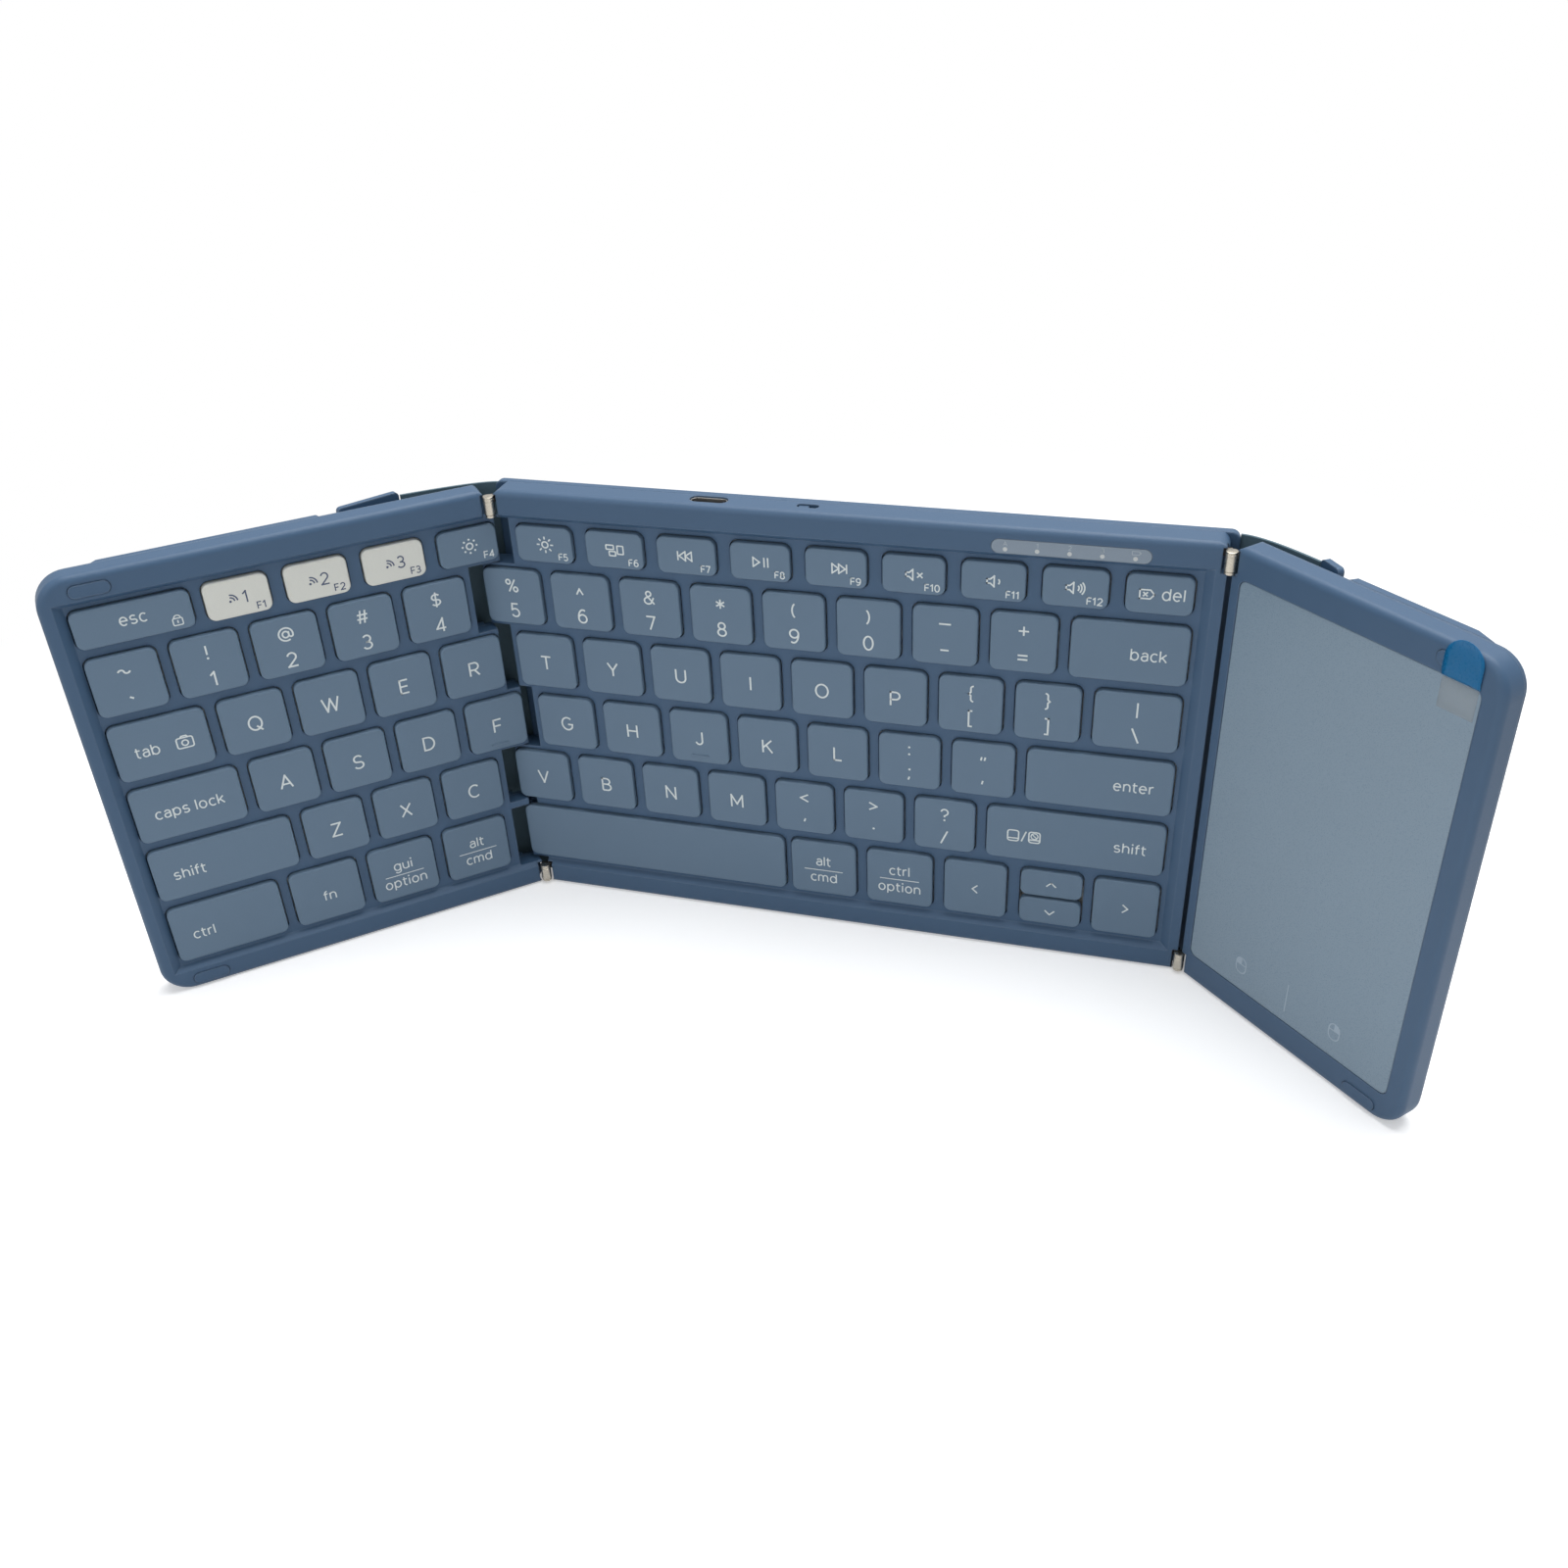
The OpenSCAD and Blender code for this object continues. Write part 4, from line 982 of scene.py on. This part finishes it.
def extent(shapes):
    """Lowest and highest x and y of a set of polygons."""
    xs = [x for shape in shapes for x, y in shape]
    ys = [y for shape in shapes for x, y in shape]
    return min(xs), max(xs), min(ys), max(ys)


def middle(shapes):
    """Centre of the outline of a set of polygons."""
    x0, x1, y0, y1 = extent(shapes)
    return (x0 + x1) / 2, (y0 + y1) / 2


def spell(text, nib=NIB):
    """Polygons of a text on one baseline, ten units tall."""
    shapes, pen_x = [], 0.0
    for letter in text:
        if letter == " ":
            pen_x += WORD_GAP - LETTER_GAP
            continue
        drawn = [s for path in GLYPHS[letter] for s in stroke(path, nib, path[0] == path[-1])]
        drawn += [arc(x, y, DOT_RADIUS, steps=10) for x, y in DOTS.get(letter, [])]
        x0, x1, y0, y1 = extent(drawn)
        shapes += placed(drawn, pen_x, 0, about=(x0, 0))
        pen_x += x1 - x0 + LETTER_GAP - NIB
    return shapes


print(len(GLYPHS), "characters; esc is", round(extent(spell("esc"))[1], 1), "units wide")

# %% What is printed on each key
LETTER, SIGN, DIGIT, WORD, SMALL, CHANNEL = 3.6, 3.3, 3.5, 2.72, 1.65, 2.8
F_KEYS = {
    "F1": "1", "F2": "2", "F3": "3", "F4": "dim", "F5": "bright", "F6": "windows", "F7": "rewind",
    "F8": "play", "F9": "forward", "F10": "mute", "F11": "quiet", "F12": "loud",
}
WORDS = {
    # legend: [(word, side, distance from that side, height on the key)]
    "esc": [("esc", 0, 0, 0.3)], "tab": [("tab", -1, 4.6, -0.7)],
    "caps lock": [("caps lock", -1, 4.6, -0.5)], "left shift": [("shift", -1, 4.6, -0.8)],
    "left ctrl": [("ctrl", -1, 4.6, -1.0)], "fn": [("fn", 0, 0.4, -1.1)],
    "back": [("back", 1, 4.5, -0.6)], "enter": [("enter", 1, 4.3, -0.5)],
    "right shift": [("shift", 1, 4.3, -0.6)], "del": [("del", 1, 1.8, -0.1)],
    "gui option": [("gui", 0, 0, 1.6), ("option", 0, 0, -3.6)],
    "alt cmd": [("alt", 0, 0, 1.9), ("cmd", 0, 0, -3.2)],
    "ctrl option": [("ctrl", 0, 0, 2.0), ("option", 0, 0, -3.2)],
}
MARKS = {
    # legend: [(icon, x, y)]
    "esc": [("lock", 9.0, -2.1)], "tab": [("camera", 5.0, -0.4)],
    "right shift": [("pad", -14.8, -0.4), ("slash", -12.2, -0.4), ("pad off", -9.6, -0.4)],
    "del": [("erase", -2.7, 0.0)], "gui option": [("divider", 0, -1.0)],
    "alt cmd": [("divider", 0, -0.6)], "ctrl option": [("divider", 0, -0.4)],
    "left": [("left", 0, -0.1)], "right": [("right", 0, -0.1)],
    "up": [("up", 0, 0)], "down": [("down", 0, -0.2)],
}


NAME_X, NAME_STEP, NAME_Y = 5.4, 0.35, -2.8  # small names such as F4 end near a corner
SIGN_Y, DIGIT_Y, LETTER_Y = 3.1, -3.6, -0.25


def legend(name, width):
    """Signs and icons of one key: (kind, what, size, x, y)."""
    if name in F_KEYS:
        face = F_KEYS[name]
        small = ("sign", name, SMALL, NAME_X - NAME_STEP * len(name), NAME_Y)
        if face.isdigit():
            return [small, ("icon", "wave", 0, -1.0, 0.1), ("sign", face, CHANNEL, 1.6, 0.0)]
        return [small, ("icon", face, 0, 0.3, 0.1)]
    prints = [("icon", icon, 0, x, y) for icon, x, y in MARKS.get(name, [])]
    for word, side, inset, y in WORDS.get(name, []):
        prints.append(("word", word, side, inset if side == 0 else side * (width / 2 - inset), y))
    if not prints and len(name) == 2:
        prints = [("sign", name[0], SIGN, 0, SIGN_Y), ("sign", name[1], DIGIT, 0, DIGIT_Y)]
    if not prints and len(name) == 1:
        prints = [("sign", name, LETTER, 0, LETTER_Y)]
    return prints


print("esc prints", legend("esc", 25))

# %% Print them


def patches(shape):
    """Sets of vertices that hang together, one for each separate patch of ink."""
    seen = set()
    for first in shape.verts:
        if first in seen:
            continue
        patch, edge = {first}, [first]
        while edge:
            for joined in edge.pop().link_edges:
                for v in joined.verts:
                    if v not in patch:
                        patch.add(v)
                        edge.append(v)
        seen |= patch
        yield patch


def ink_mesh(name, shapes, z, panel, material):
    """Closed shapes of ink from flat polygons, on a panel at height z."""
    shape = bmesh.new()
    for polygon in shapes:
        shape.faces.new([shape.verts.new((x, y, z)) for x, y in polygon])
    bmesh.ops.remove_doubles(shape, verts=shape.verts, dist=INK_WELD)
    level = {}
    for i, patch in enumerate(patches(shape)):
        level.update({tuple(v.co): INK + INK_STEP * (i % INK_LEVELS) for v in patch})
    made = bmesh.ops.extrude_face_region(shape, geom=shape.faces[:], use_keep_orig=True)
    for v in made["geom"]:
        if isinstance(v, bmesh.types.BMVert):
            v.co.z += level[tuple(v.co)]
    return closed_piece(name, shape, panel, material)


everything = {
    solid: [(x, y, item) for x, y, w, d, name in key_places(solid) for item in legend(name, w)]
    for solid in KEY_ROWS
}


def set_type(item):
    """Polygons of one printed sign, word or icon about its key's centre."""
    kind, what, size, x, y = item
    if kind == "icon":
        return placed(ICONS[what], x, y)
    shapes = spell(what, SMALL_NIB if size == SMALL else NIB)
    if kind == "word":
        x0, x1, y0, y1 = extent(shapes)
        anchor = {-1: x0, 0: (x0 + x1) / 2, 1: x1}[size]
        return placed(shapes, x, y, WORD / CAPITAL, (anchor, X_HEIGHT / 2))
    return placed(shapes, x, y, size / CAPITAL, middle(shapes))


for solid, prints in everything.items():
    shapes = [shape for x, y, item in prints for shape in placed(set_type(item), x, y)]
    if not shapes:
        continue
    ink = ink_dark if solid == "channel_keys" else ink_pale
    printed = ink_mesh(solid + "_legends", shapes, KEY_TOP + INK_REST, KEY_ROWS[solid][0], ink)
    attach(printed, solid + "_body")
print(sum(len(prints) for prints in everything.values()), "prints on the keys")

# %% [markdown]
# ## Homing bars
#
# The F and J keys carry a low moulded bar that the fingers find. Each is a small
# bar with round ends, standing a quarter of a millimetre proud.

# %% Homing bars
BAR = (4.6, 0.5)
BAR_END = 0.22
BAR_FOOT = KEY_TOP - 0.05
BAR_HEIGHT = 0.25
BAR_ROLL = 0.08


def homing_bar(name, panel, x, y):
    """A flat bar with round ends and a rolled top edge."""
    shape = bmesh.new()
    outline = round_box(x, y, *BAR, BAR_END)
    face = shape.faces.new([shape.verts.new((px, py, BAR_FOOT)) for px, py in outline])
    made = bmesh.ops.extrude_face_region(shape, geom=[face], use_keep_orig=True)
    lifted = [v for v in made["geom"] if isinstance(v, bmesh.types.BMVert)]
    bmesh.ops.translate(shape, vec=(0, 0, BAR_HEIGHT), verts=lifted)
    bmesh.ops.recalc_face_normals(shape, faces=shape.faces)
    top = [e for e in shape.edges if all(v in lifted for v in e.verts)]
    bmesh.ops.bevel(shape, geom=top, offset=BAR_ROLL, segments=3, affect="EDGES", profile=0.5)
    return closed_piece(name, shape, panel, key_blue)


for solid, letter, bar_y in (("left_home_letters", "F", -5.8), ("right_home_letters", "J", -5.3)):
    x, y = next((x, y) for x, y, w, d, name in key_places(solid) if name == letter)
    bar = homing_bar(letter.lower() + "_homing_bar", KEY_ROWS[solid][0], x, y + bar_y)
    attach(bar, solid + "_body")
print("two homing bars")

# %% [markdown]
# ## Indicator window
#
# Five lamps glow through one frosted pill on the rear rim. Unlit they are pale dots
# behind the window with a faint mark above each, so both are thin ink on its face.

# %% Indicator dots and marks
WINDOW_X, DOT_STEP, DOT_Y, MARK_Y = 137.4, 7.0, 22.85, 24.2
DOT = 0.5
MARK_SIZE = 1.0
dots = [arc(WINDOW_X + DOT_STEP * i, DOT_Y, DOT, steps=14) for i in range(-2, 3)]
lamp_glow = printed_ink("indicator dots", screen(186, 190, 190))
dot_ink = ink_mesh("indicator_dots", dots, INK_REST, "middle", lamp_glow)
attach(dot_ink, "middle_panel")
window_ink = printed_ink("indicator marks", screen(158, 169, 178))
cell = box(0, 0, 1.6, 0.8, 0.1, 0.14) + stroke([(1.0, 0.2), (1.0, -0.2)], 0.2)
signs = []
for i, letter in enumerate("A123"):
    shapes = spell(letter)
    signs += placed(shapes, WINDOW_X + DOT_STEP * (i - 2), MARK_Y, MARK_SIZE / CAPITAL,
                    middle(shapes))
signs += placed(cell, WINDOW_X + 2 * DOT_STEP, MARK_Y)
mark_ink = ink_mesh("indicator_marks", signs, INK_REST, "middle", window_ink)
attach(mark_ink, "middle_panel")
print(len(dots), "dots")

# %% [markdown]
# ## Touchpad marks
#
# Two small mouse outlines, one with each button filled, and a thin line between
# them tell where to press for a left or a right click.

# %% Touchpad marks
PAD_TOP = -0.15


def mouse(x, y, side):
    """A mouse seen from above with one button filled."""
    shell = stroke(round_box(0, 0, 2.9, 4.4, 1.4), 0.3, closed=True)
    shell += stroke([(0, 2.0), (0, 0.35)], 0.26) + stroke([(-1.3, 0.35), (1.3, 0.35)], 0.26)
    button = [(0, 2.1), (0, 0.45), (1.35, 0.45), (1.3, 1.3), (0.85, 1.9)]
    shell.append(button if side < 0 else [(-px, py) for px, py in reversed(button)])
    return placed(shell, x, y)


pad_marks = mouse(18.7, -72.75, 1) + mouse(46.6, -72.75, -1)
pad_marks += stroke([(32.7, -68.9), (32.7, -76.8)], 0.28)
pad_print = ink_mesh("touchpad_marks", pad_marks, PAD_TOP + INK_REST, "right", ink_faint)
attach(pad_print, "right_wing")
print(len(pad_marks), "polygons on the touchpad")

# %% [markdown]
# ## The film's pull tab
#
# The touchpad still wears its protective film. A blue tab with a round end is
# bonded to one corner: its pale glued end lies on the touchpad, and the blue part
# rises over the rim, lies on the bumper pad and ends past the rear edge. One strip
# is swept along that side view, and its plan is cut round at its end.

# %% Pull tab
TAB_X = 57.4
TAB_RADIUS = 4.2
TAB_THICK = 0.12
TAB_LIE = 0.28  # height over the rim
TAB_COLUMNS = 8
TAB_TIP = 0.02  # square of the half width at its very end, so that it isn't a point
LIP_Y = 25.2
FILM_Y = (14.2, 20.7)
FILM_HALF = 4.0
FILM_LIE = PAD_TOP + 0.01
FILM_THICK = 0.05


def swept_tab(name, path, half_width, thick, material):
    """A strip across x, swept along (y, z) points; half_width(way to its end) is its plan."""
    shape = bmesh.new()
    rows = []
    ways = [math.dist(a, b) for a, b in zip(path, path[1:])]
    for step, (y, z) in enumerate(path):
        half = half_width(sum(ways[step:]))
        rows.append([
            [shape.verts.new((TAB_X + half * (2 * i / TAB_COLUMNS - 1), y, z + lift))
             for i in range(TAB_COLUMNS + 1)]
            for lift in (thick, 0.0)
        ])
    for a, b in zip(rows, rows[1:]):
        for i in range(TAB_COLUMNS):
            shape.faces.new((a[0][i], a[0][i + 1], b[0][i + 1], b[0][i]))
            shape.faces.new((b[1][i], b[1][i + 1], a[1][i + 1], a[1][i]))
        shape.faces.new((a[0][0], b[0][0], b[1][0], a[1][0]))
        shape.faces.new((a[1][-1], b[1][-1], b[0][-1], a[0][-1]))
    for row in (rows[0], rows[-1]):
        shape.faces.new(row[0] + row[1][::-1])
    tab = closed_piece(name, shape, "right", material)
    for face in tab.data.polygons:
        face.use_smooth = len(face.vertices) == 4
    return tab


def round_end(way):
    """Half width of the tab: straight, then a half circle at its rear end."""
    past = max(0.0, TAB_RADIUS - way)
    return math.sqrt(max(TAB_RADIUS ** 2 - past ** 2, TAB_TIP))


# Up over the rim, then flat across the bumper pad and out past the rear edge.
RISE = [(20.95, -0.02), (21.4, 0.06), (21.9, 0.18), (22.4, 0.26), (23.0, TAB_LIE), (24.0, TAB_LIE)]
LIP = [(LIP_Y + TAB_RADIUS * math.sin(math.radians(a)), TAB_LIE) for a in range(0, 91, 6)]
blue_tab = swept_tab("blue_pull_tab", RISE + LIP, round_end, TAB_THICK, tab_blue)
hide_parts("film_tab")
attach(blue_tab, "right_wing")
glued_end = swept_tab("film_glued_end", [(y, FILM_LIE) for y in FILM_Y], lambda way: FILM_HALF,
                      FILM_THICK, film_haze)
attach(glued_end, "right_wing")
print("tab ends at", LIP[-1])

# %% [markdown]
# ## Hinge barrels
#
# Each hinge is a turned barrel on the fold line: a long sleeve that turns with the
# wing, a groove near its front end, and a short capped ring that stays with the
# middle panel. A lathe profile of distance and radius, spun round the fold line,
# gives both.

# %% Turned barrels
HINGE_Y = (23.9, -83.9)
SLEEVE = [(-2.6, 1.1), (-2.5, 1.22), (-1.95, 1.22), (-1.9, 1.08), (-1.8, 1.08), (-1.75, 1.34),
          (1.4, 1.34), (1.5, 1.2)]
RING = [(1.56, 1.1), (1.62, 1.34), (2.05, 1.34), (2.1, 1.26), (2.2, 1.26), (2.25, 1.32),
        (2.6, 1.32), (2.68, 1.05)]


def turned(name, x, profile, spans=30):
    """Closed pieces turned round a fold line, one at each hinge."""
    shape = bmesh.new()
    turns = [2 * math.pi * i / spans for i in range(spans)]
    for hinge_y in HINGE_Y:
        ends = [shape.verts.new((x, hinge_y + profile[i][0], FOLD_AXIS_Z)) for i in (0, -1)]
        rings = [
            [shape.verts.new((x + r * math.cos(a), hinge_y + y, FOLD_AXIS_Z + r * math.sin(a)))
             for a in turns]
            for y, r in profile
        ]
        for i in range(spans):
            j = (i + 1) % spans
            for a, b in zip(rings, rings[1:]):
                shape.faces.new((a[i], a[j], b[j], b[i]))
            shape.faces.new((ends[0], rings[0][j], rings[0][i]))
            shape.faces.new((ends[1], rings[-1][i], rings[-1][j]))
    barrel = closed_piece(name, shape, "middle", hinge_steel)
    barrel.data.shade_smooth()
    barrel.data.set_sharp_from_angle(angle=math.radians(35))
    return barrel


for side, x in (("left", 0.0), ("right", HINGE_SPAN)):
    sleeves = turned(side + "_hinge_sleeves", x, SLEEVE)
    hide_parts(side + "_hinge_knuckles")
    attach(sleeves, side + "_wing")
    rings = turned(side + "_hinge_rings", x, RING)
    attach(rings, "middle_panel")
print("barrels are", 2 * max(r for y, r in SLEEVE), "mm thick")

# %% [markdown]
# ## Spine strips
#
# Behind each fold line a flexible strip bridges the two panels. Its inner edge is
# held by the middle panel and its outer edge follows the wing, so it is drawn as a
# fine mesh along a smooth curve, for the wing at its present fold.

# %% Spine strips
WING_T, FLAP_GAP, STRIP_T = 7.6, 0.35, 0.6
STRIP_LIFT = 0.55  # from the flap plate's inner face to the middle of the strip
STRIP_ROOT = (1.52, -8.7)
STRIP_BEND = (6.3, -8.3)
STRIP_Y = (-86.9, 26.6)
STRIP_STEPS = 60
STRIP_TURN = 0.47  # share of the strip from its root; gives a point that is worked out but not used


def strip_curve(side, inner_x, width, tilt, fold):
    """(x, z) points from the middle panel's back to the edge of the wing's flap."""
    edge_x = side * (inner_x + width - width * math.cos(tilt) - FLAP_GAP)
    h = -WING_T - FLAP_GAP - width * math.sin(tilt) - STRIP_LIFT - FOLD_AXIS_Z
    edge = (edge_x * math.cos(fold) - side * h * math.sin(fold),
            side * edge_x * math.sin(fold) + h * math.cos(fold) + FOLD_AXIS_Z)
    root = (side * STRIP_ROOT[0], STRIP_ROOT[1])
    bend = (side * STRIP_BEND[0], STRIP_BEND[1])
    steps = [i / STRIP_STEPS for i in range(STRIP_STEPS + 1)]
    return [tuple((1 - t) ** 2 * a + 2 * t * (1 - t) * b + t * t * c
                  for a, b, c in zip(root, bend, edge)) for t in steps]


def flexible_strip(name, x, curve):
    """A thin closed strip across y that follows a curve."""
    shape = bmesh.new()
    half = STRIP_T / 2
    section = [(lift, y) for lift, y in zip((-half, -half, half, half), STRIP_Y + STRIP_Y[::-1])]
    rows = []
    for i, (px, pz) in enumerate(curve):
        before, after = curve[max(i - 1, 0)], curve[min(i + 1, len(curve) - 1)]
        dx, dz = heading(before, after)
        rows.append([shape.verts.new((x + px - dz * lift, y, pz + dx * lift))
                     for lift, y in section])
    for a, b in zip(rows, rows[1:]):
        for i in range(4):
            shape.faces.new((a[i], a[(i + 1) % 4], b[(i + 1) % 4], b[i]))
    shape.faces.new(rows[0])
    shape.faces.new(rows[-1][::-1])
    return closed_piece(name, shape, "middle", strip_teal)


# wing, side, fold line; then the flap plate's inner edge, width and tilt; then the fold
for name, side, x, inner_x, width, tilt, fold in (
    ("left", -1, 0.0, 18.2, 15.4, math.radians(12), LEFT_FOLD),
    ("right", 1, HINGE_SPAN, 14.6, 6.0, math.radians(15), RIGHT_FOLD),
):
    curve = strip_curve(side, inner_x, width, tilt, fold)
    strip = flexible_strip(name + "_spine_cloth", x, curve)
    root, edge = (DECKS["middle"] @ Vector((x + p[0], 0, p[1])) for p in (curve[0], curve[-1]))
    turned_at = root.lerp(edge, STRIP_TURN)
    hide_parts(name + "_spine_strip")
    tuple(root)
    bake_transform(strip)
print("strips run from y", STRIP_Y[0], "to", STRIP_Y[1], "mm")
